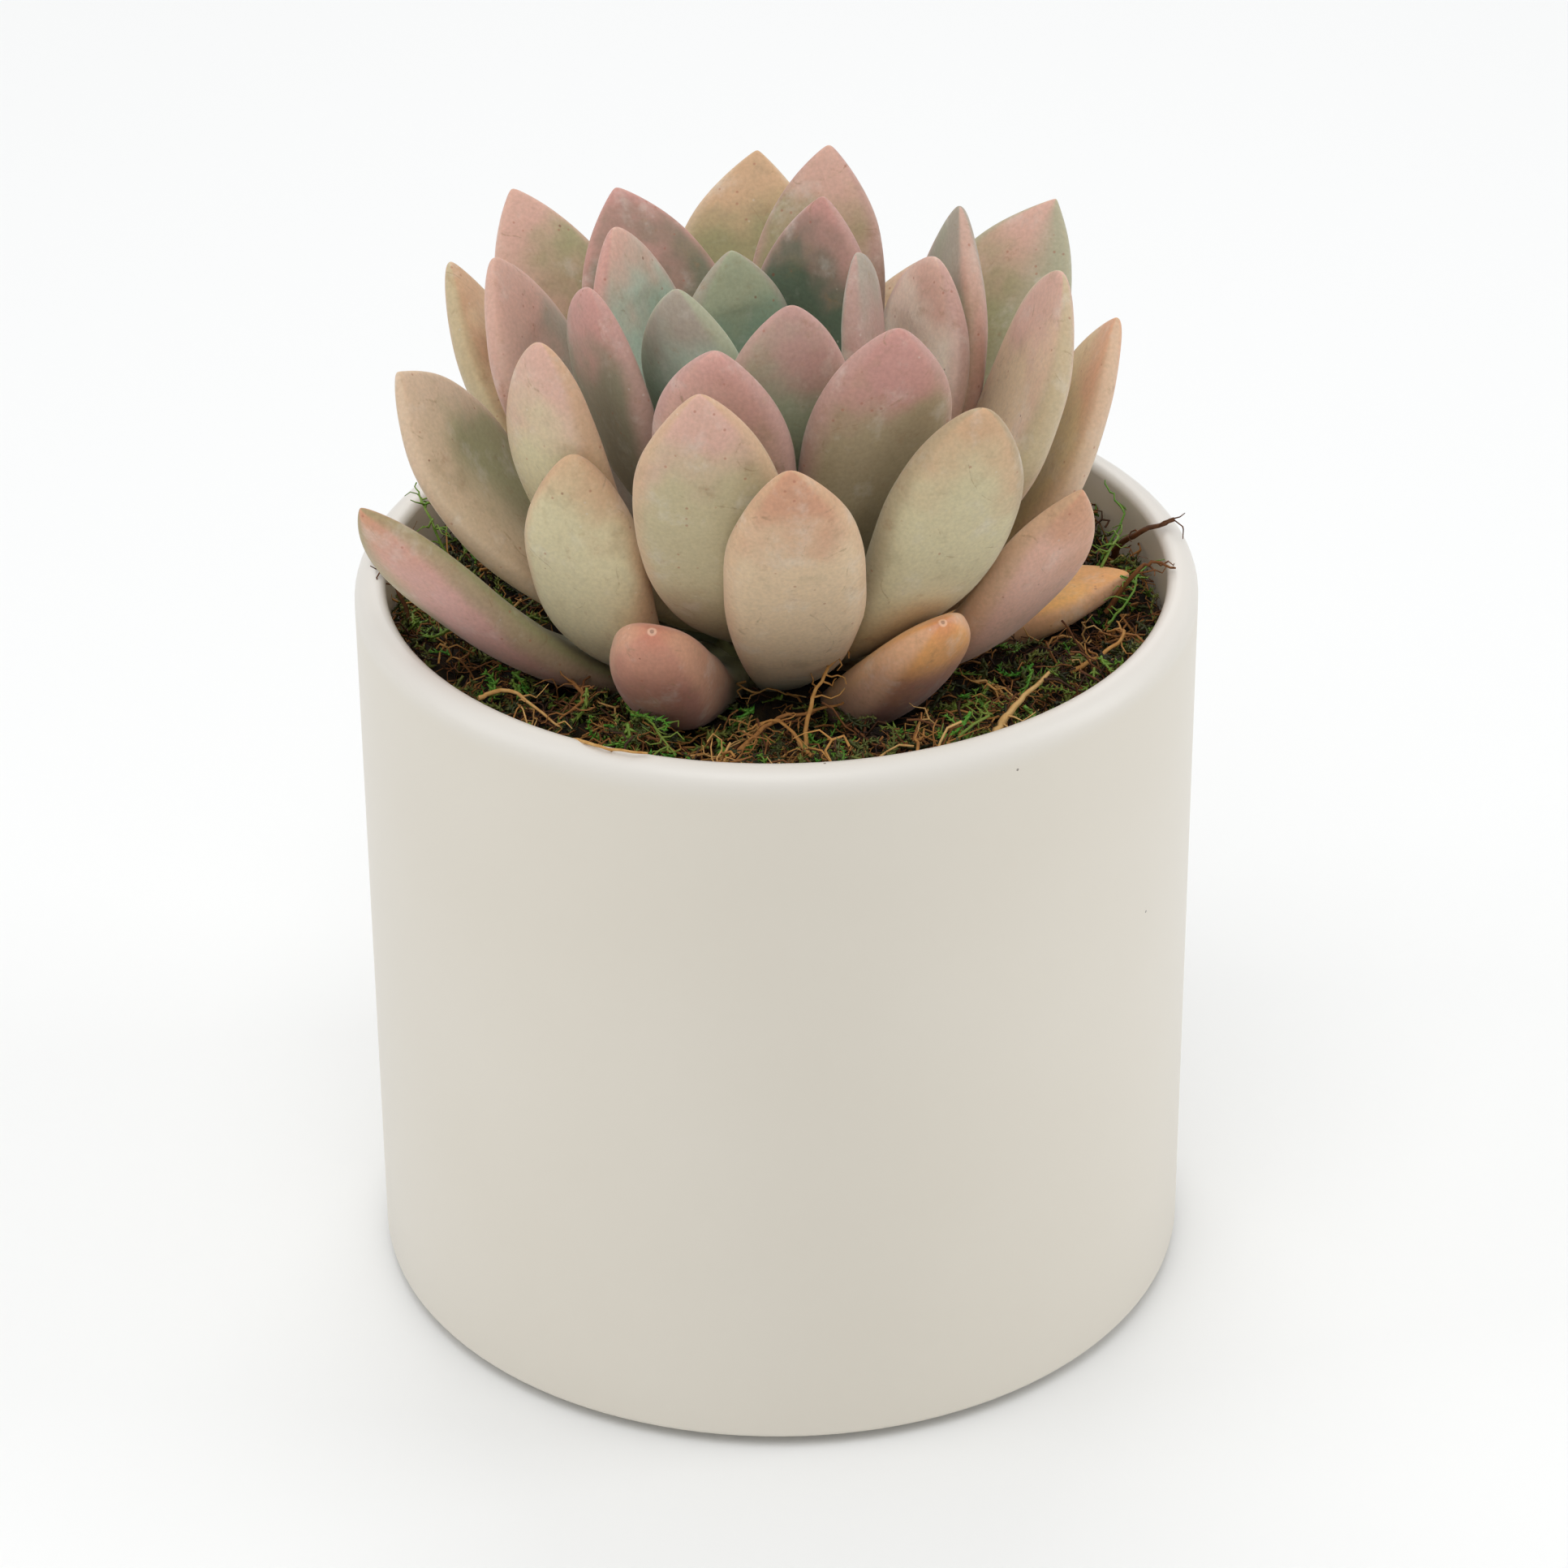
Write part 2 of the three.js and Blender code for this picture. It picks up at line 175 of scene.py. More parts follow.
def fill_sockets(tree, node, *values, **named):
    sockets = [socket for socket in node.inputs if socket.enabled][:len(values)]
    sockets += [node.inputs[name.replace("_", " ")] for name in named]
    for socket, value in zip(sockets, [*values, *named.values()]):
        if isinstance(value, bpy.types.Node):
            value = next(output for output in value.outputs if output.enabled)
        if isinstance(value, bpy.types.NodeSocket):
            tree.links.new(value, socket)
        else:
            socket.default_value = value
    return node


def add_node(tree, kind, *values, **named):
    kind, _, choice = kind.partition(" ")
    node = tree.nodes.new("ShaderNode" + kind)
    if choice:
        setattr(node, MAIN_MENU[kind], choice)
    return fill_sockets(tree, node, *values, **named)


def new_material(name):
    material = bpy.data.materials.new(name)
    material.use_nodes = True
    return material, material.node_tree, material.node_tree.nodes["Principled BSDF"]


def set_ramp(ramp_node, stops, interpolation="EASE"):
    ramp = ramp_node.color_ramp
    ramp.interpolation = interpolation
    while len(ramp.elements) < len(stops):
        ramp.elements.new(0.5)
    for element, (position, color) in zip(ramp.elements, stops):
        element.position = position
        element.color = color
    return ramp_node


# %% [markdown]
# ## The pot's glaze
# Stoneware, slip-cast and dipped in a satin tin-white glaze. It scatters light like chalk under a thin
# glassy skin, so it shows broad soft highlights. The colour drifts a little where the glaze is thicker,
# it is thinner and paler on the rim, and a few small iron specks show.

# %% Satin glaze
GLAZE_HEX = "#DFD9CD"
GLAZE_WARM_HEX = "#DAD3C5"
GLAZE_RIM_HEX = "#E2DED7"
GLAZE_SPECK_HEX = "#6B6157"
GLAZE_DRIFT_MM = 45.0
GLAZE_THIN_RIM = 5 * MM
GLAZE_SPECK_MM = 6.5
SPECK_SIZE_SHARE = 0.032
SPECK_RARITY = 0.9
SPECK_STRENGTH = 0.8
ORANGE_PEEL_MM = 9.0


def per_metre(size_mm):
    return 1 / (size_mm * MM)


def make_glaze():
    material, tree, shader = new_material("satin_stoneware_glaze")
    place = add_node(tree, "TexCoord").outputs["Object"]
    drift = add_node(tree, "TexNoise", place, per_metre(GLAZE_DRIFT_MM), Detail=2.0)
    body = add_node(tree, "Mix RGBA", drift, linear(GLAZE_HEX), linear(GLAZE_WARM_HEX))
    height = add_node(tree, "SeparateXYZ", place).outputs["Z"]
    rim = add_node(tree, "MapRange SMOOTHSTEP", height, RIM_Z - GLAZE_THIN_RIM, RIM_Z)
    color = add_node(tree, "Mix RGBA", rim, body, linear(GLAZE_RIM_HEX))
    cells = add_node(tree, "TexVoronoi", place, per_metre(GLAZE_SPECK_MM))
    dots = add_node(tree, "Math LESS_THAN", cells, SPECK_SIZE_SHARE)
    luck = add_node(tree, "SeparateColor", cells.outputs["Color"])
    rare = add_node(tree, "Math GREATER_THAN", luck, SPECK_RARITY)
    specks = add_node(tree, "Math MULTIPLY", dots, add_node(tree, "Math MULTIPLY", rare, SPECK_STRENGTH))
    color = add_node(tree, "Mix RGBA", specks, color, linear(GLAZE_SPECK_HEX))
    peel = add_node(tree, "TexNoise", place, per_metre(ORANGE_PEEL_MM), Detail=1.0)
    bump = add_node(tree, "Bump", Height=peel, Strength=0.05, Distance=0.4 * MM)
    fill_sockets(tree, shader, Base_Color=color, Roughness=0.42, IOR=1.5, Coat_Weight=0.25,
                 Coat_Roughness=0.28, Normal=bump)
    return material


glaze = make_glaze()

# %% [markdown]
# ## The pot
# A potter would turn or cast it: a straight wall, a floor and a rolled rim. Here a cylinder is added at
# the pot's size, its top is inset by the wall and pushed down to the floor, and the three edges are
# rounded by bevels of the real radii.

# %% Model the pot
POT_SIDES = 128
POT_FLOOR = 6 * MM
RIM_OUTER_ROUND = 3 * MM
RIM_INNER_ROUND = 1.4 * MM
BASE_ROUND = 1.2 * MM
INSIDE_CORNER_ROUND = 6 * MM
SAME_PLACE = 1e-5
UPWARDS = 0.9


def round_ring(obj, radius, height, round_radius, segments):
    """Bevels the ring of edges that lies at this radius and height."""
    near = [abs(v.co.z - height) < SAME_PLACE and abs(hypot(v.co.x, v.co.y) - radius) < SAME_PLACE
            for v in obj.data.vertices]
    select_parts(obj, "EDGE", lambda edge: near[edge.vertices[0]] and near[edge.vertices[1]])
    bpy.ops.mesh.bevel(offset=round_radius, segments=segments, affect="EDGES")
    leave_edit_mode()


def make_pot():
    height = RIM_Z - POT_BASE_Z
    bpy.ops.mesh.primitive_cylinder_add(vertices=POT_SIDES, radius=POT_RADIUS, depth=height,
                                        location=(0, 0, POT_BASE_Z + height / 2))
    pot = bpy.context.object
    apply_place(pot)
    select_parts(pot, "FACE", lambda face: face.normal.z > UPWARDS)
    bpy.ops.mesh.inset(thickness=POT_WALL)
    bpy.ops.mesh.extrude_region_move(TRANSFORM_OT_translate={"value": (0, 0, POT_FLOOR - height)})
    leave_edit_mode()
    round_ring(pot, POT_RADIUS, RIM_Z, RIM_OUTER_ROUND, 8)
    round_ring(pot, POT_INSIDE, RIM_Z, RIM_INNER_ROUND, 5)
    round_ring(pot, POT_RADIUS, POT_BASE_Z, BASE_ROUND, 4)
    round_ring(pot, POT_INSIDE, POT_BASE_Z + POT_FLOOR, INSIDE_CORNER_ROUND, 6)
    bpy.ops.object.shade_smooth_by_angle(angle=radians(40))
    return finish_piece(pot, "glazed_pot", glaze, ["pot"])


pot = make_pot()

# %% [markdown]
# ## The bumper feet
# Three clear polyurethane domes keep the glaze off the table. The frame's nodes already have their
# shape, so each is a fresh flattened dome only for its smoothness, with a clear soft plastic.

# %% Clear bumper plastic and feet
BUMPER_HEX = "#F2F4F4"
BUMPER_HAZE_MM = 1.5
FOOT_FLAT = 0.04 * MM


def make_bumper_plastic():
    material, tree, shader = new_material("clear_polyurethane")
    place = add_node(tree, "TexCoord").outputs["Object"]
    haze = add_node(tree, "TexNoise", place, per_metre(BUMPER_HAZE_MM), Detail=2.0)
    rough = add_node(tree, "MapRange", haze, To_Min=0.05, To_Max=0.22)
    fill_sockets(tree, shader, Base_Color=linear(BUMPER_HEX), Roughness=rough, IOR=1.5,
                 Transmission_Weight=0.85)
    return material


def make_foot(number, plastic):
    low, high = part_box(f"bumper_foot_{number}")
    radius = (high[0] - low[0]) / 2
    height = high[2] - low[2]
    middle = ((low[0] + high[0]) / 2, (low[1] + high[1]) / 2, high[2])
    bpy.ops.mesh.primitive_uv_sphere_add(segments=40, ring_count=20, radius=radius, location=middle)
    foot = bpy.context.object
    edit_all()
    bpy.ops.mesh.bisect(plane_co=(middle[0], middle[1], middle[2] - 1e-6), plane_no=(0, 0, 1),
                        clear_outer=True, use_fill=True)
    bpy.ops.mesh.select_all(action="SELECT")
    bpy.ops.transform.resize(value=(1, 1, height / radius), center_override=middle)
    bpy.ops.mesh.bisect(plane_co=(middle[0], middle[1], low[2] + FOOT_FLAT), plane_no=(0, 0, 1),
                        clear_inner=True, use_fill=True)
    leave_edit_mode()
    apply_place(foot)
    bpy.ops.object.shade_smooth_by_angle(angle=radians(50))
    return finish_piece(foot, f"clear_foot_{number}", plastic, [f"bumper_foot_{number}"])


bumper_plastic = make_bumper_plastic()
feet = [make_foot(number, bumper_plastic) for number in (1, 2, 3)]

# %% [markdown]
# ## The leaves' table
# A rosette puts out its leaves one after another, each a little lower on the stem and at a new heading.
# The table repeats the frame's own: heading, tilt at the tip, how much flatter the leaf leaves the stem,
# length and width, and how far it rolls and swings sideways by the tip, in degrees and millimetres.
# Then comes how blunt its point is, and its colours from the palette: at its foot, on its back, on its
# inner face, at its tip and along its margins. Where the margin's colour spreads over one side, the next
# number says which: 1 is the left and -1 the right, as seen from the heart. A stub's row goes on with how
# much higher it stands, and how thick it is.

# %% Palette and leaves
# The colour "deep" is a painted shade: the dark green that leaf bases show where they lie in shade. It is
# used at the feet of three leaves and on one leaf's inner face.
PALETTE = {
    "deep": "#5A6854", "forest": "#74826A", "drab": "#8B8770", "teal": "#869E88",
    "mint": "#AFC1AE", "sage": "#A6AB8F", "grey": "#A89D8E", "ash": "#A8A28F",
    "bark": "#777660", "moss": "#8C8A5E", "lichen": "#9A946C", "olive": "#A09D76",
    "fawn": "#A99879", "khaki": "#B6A988", "stone": "#C0B38F", "cream": "#CFC49F",
    "gold": "#D9C99C", "butter": "#EBDBB4", "chalk": "#E6D9C6", "shell": "#DCC2A0",
    "sand": "#D2B89C", "tan": "#CBA885", "blush": "#D3AB9A", "pink": "#D0A196",
    "rose": "#C5948A", "mauve": "#BC968C", "salmon": "#DDB29F", "peach": "#D9AD8D",
    "copper": "#CB9A7C", "orange": "#E6A868", "amber": "#F3BC70", "clay": "#C68F78",
    "plum": "#AA7565",
}

# heading, tilt, curl, length, width, roll, swing, blunt, tints, and where needed: spread, lift, thickness
RINGS = [
    ("heart_leaf", 4.4, [
        (110, 97, 0, 17, 8, 0, 0, 0.2, "teal sage teal rose pink"),
        (235, 97, 0, 19, 9, 0, 0, 0.2, "teal sage teal rose pink"),
        (350, 95, 2, 22, 10, 0, 0, 0.2, "teal sage teal rose pink"),
        (165, 96, 4, 25, 12, 0, 0, 0.2, "forest teal teal rose pink"),
        (60, 95, 6, 24, 11, 0, 0, 0.2, "forest teal teal rose pink"),
    ]),
    ("inner_leaf", 6.4, [
        (106, 80, 14, 39, 17, 8, 3, 0.12, "deep sage teal sage grey"),
        (282, 82, 22, 47, 18, 0, 0, 0.25, "sage sage sage mauve mauve"),
        (7, 92, 33, 45.5, 20, -23, 2, 0.3, "forest mauve sage grey mauve"),
        (225, 75, -8, 47, 18, 11, 0, 0.2, "mint mint mint grey sage"),
        (254, 76, 31, 49, 20, -9, 8, 0.2, "khaki blush sage pink mauve"),
        (198, 79, 32, 50, 21, 8, 6, 0.5, "moss drab drab rose mauve"),
        (143, 74, 20, 49, 21, 6, 5, 0.25, "mint mauve mint blush rose"),
        (69, 77, 20, 50, 19, -15, 0, 0.12, "deep sage deep rose mauve"),
    ]),
    ("middle_leaf", 7.2, [
        (20, 82, 45, 49, 22.5, 5, 4, 0.3, "chalk grey chalk blush mauve"),
        (310, 74, 26, 55, 20.5, -22, -9, 0.25, "sage fawn sage rose mauve"),
        (153, 70, 54, 56.5, 22, -7, 16, 0.15, "moss mauve ash blush blush", 1),
        (37, 85, 72, 59.5, 22.5, -21, -4, 0.1, "sage mauve sage grey blush"),
        (-2, 76, 62, 62, 25, 13, 4, 0.35, "gold sand shell blush stone"),
        (111, 55, 22, 59, 23, -7, 15, 0.08, "deep olive bark rose rose"),
        (75, 68, 22, 61, 20, -4, 1, 0.1, "lichen khaki lichen blush mauve"),
        (258, 78, 55, 60, 21, 17, -4, 0.2, "lichen stone sage blush tan"),
        (208, 82, 62, 59, 17, 21, 9, 0.4, "olive cream sand blush tan"),
    ]),
    ("outer_leaf", 7.2, [
        (154, 61, 48, 62, 19, 18, -7, 0.1, "butter sand butter tan stone"),
        (96, 53, 27, 67, 24.5, 4, -13, 0.05, "moss sand lichen tan sand"),
        (47, 52, 32, 69, 24, 16, -6, 0.02, "moss khaki olive blush sage", -1),
        (189, 60, 43, 62, 24.5, -32, 3, 0.02, "forest khaki olive sand sand", 1),
        (12, 69, 68, 64, 25, 2, -11, 0.02, "gold sand gold peach sand"),
        (124, 53, 36, 71, 22.5, -6, 7, 0.08, "moss sand olive blush blush", 1),
        (61, 54, 31, 56, 21, 2, -2, 0.1, "lichen gold gold blush stone"),
        (316, 71, 44, 62, 19.5, -36, -6, 0.4, "lichen cream sage tan fawn"),
        (216, 84, 82, 54, 17, 26, 29, 0.35, "olive cream stone tan tan"),
    ]),
    ("low_leaf", 7.2, [
        (108, 38, 42, 50, 21, 0, 0, 0.1, "khaki tan khaki peach pink"),
        (344, 63, 67, 53, 17.5, -33, -13, 0.05, "fawn salmon sand copper tan"),
        (281, 68, 36, 61, 19.5, 10, -19, 0.25, "olive shell sage copper tan"),
        (17, 16, 20, 45, 18, -8, -17, 0.1, "amber amber amber orange peach"),
        (59, 36, 42, 50, 21, 0, 0, 0.1, "khaki tan khaki peach pink"),
        (198, 52, 50, 63, 18.7, 34, 6, 0.05, "moss pink olive copper lichen", -1),
        (143, 38, 43, 50, 21, 0, 0, 0.1, "khaki cream khaki peach tan"),
        (92, 37, 46, 50, 21, 0, 0, 0.1, "khaki tan khaki peach pink"),
    ]),
    ("stub_leaf", 10, [
        (315, 49, 22, 39, 16, 8, -15, 0.8, "plum plum amber orange peach", 0, -2, 9.5),
        (238, 49, 40, 39, 14, -7, 26, 0.9, "moss plum peach clay copper", 0, 5, 12),
    ]),
]
FIELDS = ("heading", "tilt", "curl", "length", "width", "roll", "swing", "blunt", "tints",
          "spread", "lift", "thickness")
TINTS = ("foot", "back", "inner", "tip", "margin")
FIRST_LEAF_ABOVE_RIM = 10.3
LEAF_STEP = 0.63


def list_leaves():
    rows = []
    for ring, thickness, ring_rows in RINGS:
        for number, row in enumerate(ring_rows, 1):
            leaf = {"name": f"{ring}_{number:02d}", "ring": ring,
                    "spread": 0, "lift": 0, "thickness": thickness}
            leaf.update(zip(FIELDS, row))
            leaf.update(zip(TINTS, leaf["tints"].split()))
            leaf["above_rim"] = FIRST_LEAF_ABOVE_RIM - LEAF_STEP * len(rows) + leaf["lift"]
            rows.append(leaf)
    return rows


leaves = list_leaves()
print("leaves:", len(leaves))

# %% [markdown]
# ## One straight leaf
# Every leaf is the same form at another size: a short narrow foot, broadest beyond the middle, a point,
# a deep back, a flatter inner face and thick round margins. So one straight leaf of unit size is modelled
# first. A disc is pushed out to a fuller section than an ellipse, extruded along the leaf in steps, and
# each step is resized to the leaf's width and thickness there.

# %% Model the unit leaf
LEAF_SIDES = 48
LEAF_STEPS = 52
BROADEST = 0.62
BASE_WIDTH_SHARE = 0.34
BASE_THICKNESS_SHARE = 0.5
TIP_THINNING = 0.2
OUTER_FACE_SHARE = 0.64
INNER_FACE_SHARE = 0.36
SECTION_FULLNESS = 2.6
SWELL = 1.2
TAPER = 2.5
THINNING_CURVE = 2.4
STEP_SPREAD = 1.25


def width_share(along):
    if along < BROADEST:
        rise = sin(along / BROADEST * pi / 2) ** SWELL
        return BASE_WIDTH_SHARE + (1 - BASE_WIDTH_SHARE) * rise
    return 1 - ((along - BROADEST) / (1 - BROADEST)) ** TAPER


def thickness_share(along):
    if along < 0.5:
        rise = along / 0.5
        return BASE_THICKNESS_SHARE + (1 - BASE_THICKNESS_SHARE) * rise * rise * (3 - 2 * rise)
    fall = (along - 0.5) / 0.5
    return sqrt(1 - fall ** THINNING_CURVE) * (1 - TIP_THINNING * fall)


def fuller(wave):
    return copysign(abs(wave) ** (2 / SECTION_FULLNESS), wave)


def station(step):
    """How far along the leaf a step is. The steps lie closer together towards both ends."""
    return sin(step / LEAF_STEPS * pi / 2) ** STEP_SPREAD


def make_unit_leaf():
    bpy.ops.mesh.primitive_circle_add(vertices=LEAF_SIDES, radius=1, fill_type="NGON", location=(0, 0, 0))
    leaf = bpy.context.object
    for vertex in leaf.data.vertices:
        share = INNER_FACE_SHARE if vertex.co.y > 0 else OUTER_FACE_SHARE
        vertex.co = (fuller(vertex.co.x), fuller(vertex.co.y) * share, 0)
    edit_all()
    width = width_share(0)
    depth = thickness_share(0)
    bpy.ops.transform.resize(value=(width, depth, 1), center_override=(0, 0, 0))
    for step in range(1, LEAF_STEPS):
        along = station(step)
        rise = along - station(step - 1)
        next_width = width_share(along)
        next_depth = thickness_share(along)
        bpy.ops.mesh.extrude_region_move(TRANSFORM_OT_translate={"value": (0, 0, rise)})
        bpy.ops.transform.resize(value=(next_width / width, next_depth / depth, 1),
                                 center_override=(0, 0, along))
        width = next_width
        depth = next_depth
    bpy.ops.mesh.extrude_region_move(TRANSFORM_OT_translate={"value": (0, 0, 1 - along)})
    bpy.ops.mesh.merge(type="CENTER")
    bpy.ops.mesh.select_all(action="SELECT")
    bpy.ops.mesh.normals_make_consistent(inside=False)
    leave_edit_mode()
    leaf.name = "unit_leaf"
    return leaf


unit_leaf = make_unit_leaf()
print("unit leaf:", len(unit_leaf.data.vertices), "vertices")

# %% [markdown]
# ## Bending a copy onto its spine
# A leaf leaves the stem rather flat and curves up to its tilt at the tip. Its spine is a curve that is
# walked in small steps, and each ring of the unit leaf is set on it. A lattice or a curve modifier could
# bend it too, but this keeps the very form of the solids in the frame. Before it is bent, each copy gets
# what makes it a leaf of its own: a blunter point, a shallow channel along the inner face, a keel towards
# the tip of the back, and slight lumps from a noise that its number seeds.

# %% Bend the leaves
STEM_LOW, STEM_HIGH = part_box("stem")
STEM_X = (STEM_LOW[0] + STEM_HIGH[0]) / 2
STEM_Y = (STEM_LOW[1] + STEM_HIGH[1]) / 2
STEM_RADIUS = (STEM_HIGH[0] - STEM_LOW[0]) / 2
STEM_WIDEST_BELOW_RIM = 16 * MM
STEM_DOME = 29 * MM
SPINE_STEPS = 200
LEAF_SINK = 1.5 * MM
CHANNEL = {"heart_leaf": 0.25, "inner_leaf": 0.22, "middle_leaf": 0.16, "outer_leaf": 0.13,
           "low_leaf": 0.08}
CHANNEL_RUN = 1.25
CHANNEL_SLOPE = 1.3
KEEL = 0.12
KEEL_STARTS = 0.45
KEEL_WIDTH = 0.3
KEEL_AT_TIP = 0.3
LUMP_SIZE_MM = 11.0
LUMP_HEIGHT_MM = 0.4
LUMP_SEED_STEP = 7.3
LUMPS_END_BY_TIP = 6
SMALLEST_SHARE = 1e-4
POINT_STARTS = 0.9999


def stem_radius(above_rim):
    climb = max((above_rim + STEM_WIDEST_BELOW_RIM) / STEM_DOME, 0)
    return STEM_RADIUS * sqrt(1 - climb ** 2)


def leaf_frame(leaf, along):
    """Which ways are forward, across and towards the inner face, this far along the leaf."""
    rise = radians(leaf["tilt"] - leaf["curl"] * (1 - along) ** 2)
    turn = radians(leaf["heading"] + leaf["swing"] * along)
    forward = Vector((cos(turn) * cos(rise), sin(turn) * cos(rise), sin(rise)))
    across = Vector((-sin(turn), cos(turn), 0))
    across.rotate(Matrix.Rotation(radians(leaf["roll"] * along), 3, forward))
    return forward, across, forward.cross(across)


def leaf_spine(leaf):
    heading = radians(leaf["heading"])
    above = leaf["above_rim"] * MM
    start = stem_radius(above)
    place = Vector((STEM_X + start * cos(heading), STEM_Y + start * sin(heading), RIM_Z + above))
    stations = [place.copy()]
    for step in range(SPINE_STEPS):
        forward = leaf_frame(leaf, (step + 0.5) / SPINE_STEPS)[0]
        place = place + forward * (leaf["length"] * MM / SPINE_STEPS)
        stations.append(place.copy())
    return stations


def spine_point(stations, along):
    share = along * SPINE_STEPS
    low = min(int(share), SPINE_STEPS - 1)
    return stations[low].lerp(stations[low + 1], share - low)


def widen_point(leaf, along):
    """How much wider a blunt leaf is here than the sharp unit leaf."""
    width = width_share(along)
    if along < BROADEST or width < SMALLEST_SHARE:
        return 1.0
    return sqrt(1 + leaf["blunt"] * (1 - width) / width)


def shape_across(leaf, along, across, depth):
    if leaf["ring"] == "stub_leaf":
        return depth
    if depth > 0:
        run = sin(min(along * CHANNEL_RUN, 1) * pi) ** 0.5
        return depth - CHANNEL[leaf["ring"]] * (1 - abs(across)) ** CHANNEL_SLOPE * run
    ridge = exp(-(across / KEEL_WIDTH) ** 2) * max(along - KEEL_STARTS, 0) / (1 - KEEL_STARTS)
    fade = KEEL_AT_TIP + (1 - KEEL_AT_TIP) * (1 - along)
    return depth - KEEL * ridge * thickness_share(along) * fade


def bend_leaf(leaf, seed):
    obj = unit_leaf.copy()
    obj.data = unit_leaf.data.copy()
    bpy.context.scene.collection.objects.link(obj)
    mesh = obj.data
    stations = leaf_spine(leaf)
    half_width = leaf["width"] / 2 * MM
    thickness = leaf["thickness"] * MM
    values = {"along": [], "across": [], "inner": []}
    frames = {}
    for vertex in mesh.vertices:
        across_units, depth, along = vertex.co
        along = min(max(along, 0.0), 1.0)
        key = round(along, 5)
        if key not in frames:
            frames[key] = (spine_point(stations, along), leaf_frame(leaf, along), widen_point(leaf, along))
        centre, (forward, across, inner), wider = frames[key]
        if along == 0:
            centre = centre - forward * LEAF_SINK
        relative = face = 0.0
        if along < POINT_STARTS:
            relative = max(-1.0, min(1.0, across_units / max(width_share(along), SMALLEST_SHARE)))
            face = depth / (INNER_FACE_SHARE if depth > 0 else OUTER_FACE_SHARE) / thickness_share(along)
        values["along"].append(along)
        values["across"].append(relative)
        values["inner"].append(0.5 + 0.5 * max(-1.0, min(1.0, face)))
        depth = shape_across(leaf, along, relative, depth)
        point = centre + across * (across_units * wider * half_width) + inner * (depth * thickness)
        sample = Vector(point) * per_metre(LUMP_SIZE_MM) + Vector((seed * LUMP_SEED_STEP, 0, 0))
        lump = noise.noise(sample) * LUMP_HEIGHT_MM * MM
        outwards = across * across_units + inner * depth
        if outwards.length > 1e-6:
            point = point + outwards.normalized() * lump * min(1, (1 - along) * LUMPS_END_BY_TIP)
        vertex.co = point
    for name, numbers in values.items():
        attribute = mesh.attributes.new(name, "FLOAT", "POINT")
        attribute.data.foreach_set("value", numbers)
    select_only(obj)
    bpy.ops.object.shade_smooth()
    return obj


leaf_objects = [bend_leaf(leaf, seed) for seed, leaf in enumerate(leaves)]
print("bent leaves:", len(leaf_objects))

# %% [markdown]
# ## The leaves' skin
# A succulent's leaf is a thin waxy skin over clear watery flesh. The wax stands on it as a powder, the
# bloom, which turns the green under it to grey, scatters light at grazing angles and leaves no sharp
# highlight. Sun colours the backs, margins and tips pink and orange. The band of margin colour along each
# edge is also a painted highlight, where the rounded edge catches the light. The colours follow three
# numbers that each leaf carries: how far along it a point is, how far to the left or right, and whether
# it is on the inner face or on the back. An image could be painted too, but this way each leaf's row
# gives its tints.

# %% Tint a leaf from its row
BLUSH_DRIFT_MM = 12.0
BLUSH_SWAY = 0.6
FOOT_ENDS = 0.06
BODY_STARTS = 0.42
BODY_ENDS = 0.7
TIP_STARTS = 0.96
# The band along the margins is partly the sun's pink and partly a painted highlight of the lit, rounded
# edge.
MARGIN_AND_HIGHLIGHT_STARTS = 0.74
MARGIN_AND_HIGHLIGHT_STRENGTH = 0.75
SPREAD_STARTS = -0.15
SPREAD_ENDS = 0.75
SPREAD_STRENGTH = 0.8


def face_tint(tree, along, *names):
    foot, body, tip = (linear(PALETTE[name]) for name in names)
    stops = [(FOOT_ENDS, foot), (BODY_STARTS, body), (BODY_ENDS, body), (TIP_STARTS, tip)]
    return set_ramp(add_node(tree, "ValToRGB", along), stops)


def leaf_colors(tree, place, leaf):
    along, across, inner = (add_node(tree, "Attribute " + name).outputs["Fac"]
                            for name in ("along", "across", "inner"))
    own_place = add_node(tree, "VectorMath ADD", place, (leaf["heading"] * 0.01, 0, 0))
    drift = add_node(tree, "TexNoise", own_place, per_metre(BLUSH_DRIFT_MM), Detail=3.0)
    sway = add_node(tree, "Math MULTIPLY_ADD", drift, BLUSH_SWAY, -BLUSH_SWAY / 2)
    drifted = add_node(tree, "Math ADD", along, sway)
    back, front = (face_tint(tree, drifted, leaf["foot"], leaf[face], leaf["tip"])
                   for face in ("back", "inner"))
    turned = add_node(tree, "MapRange SMOOTHSTEP", inner, 0.38, 0.62)
    color = add_node(tree, "Mix RGBA", turned, back, front)
    sideways = add_node(tree, "Math ABSOLUTE", across)
    swayed = add_node(tree, "Math MULTIPLY_ADD", sway, 0.5, sideways)
    # Sun colour and painted highlight together: a band of the margin tint along both edges.
    margin = add_node(tree, "MapRange SMOOTHSTEP", swayed, MARGIN_AND_HIGHLIGHT_STARTS, 1.0, 0.0, MARGIN_AND_HIGHLIGHT_STRENGTH)
    if leaf["spread"]:
        one_side = add_node(tree, "Math MULTIPLY_ADD", across, leaf["spread"], sway)
        spread = add_node(tree, "MapRange SMOOTHSTEP", one_side, SPREAD_STARTS, SPREAD_ENDS,
                          0.0, SPREAD_STRENGTH)
        margin = add_node(tree, "Math MAXIMUM", margin, spread)
    grown = add_node(tree, "MapRange SMOOTHSTEP", along, 0.05, 0.55, 0.1, 1.0)
    amount = add_node(tree, "Math MULTIPLY", margin, grown)
    color = add_node(tree, "Mix RGBA", amount, color, linear(PALETTE[leaf["margin"]]))
    return color, along, sideways


# %% [markdown]
# Where a leaf was touched the bloom is rubbed away and the skin shows darker and shinier, and where it
# was not it stays dusty and pale. Old insect bites and grit leave small brown specks, mostly towards the
# tips and margins. All of these come from noises whose scale is the size of the real marks.

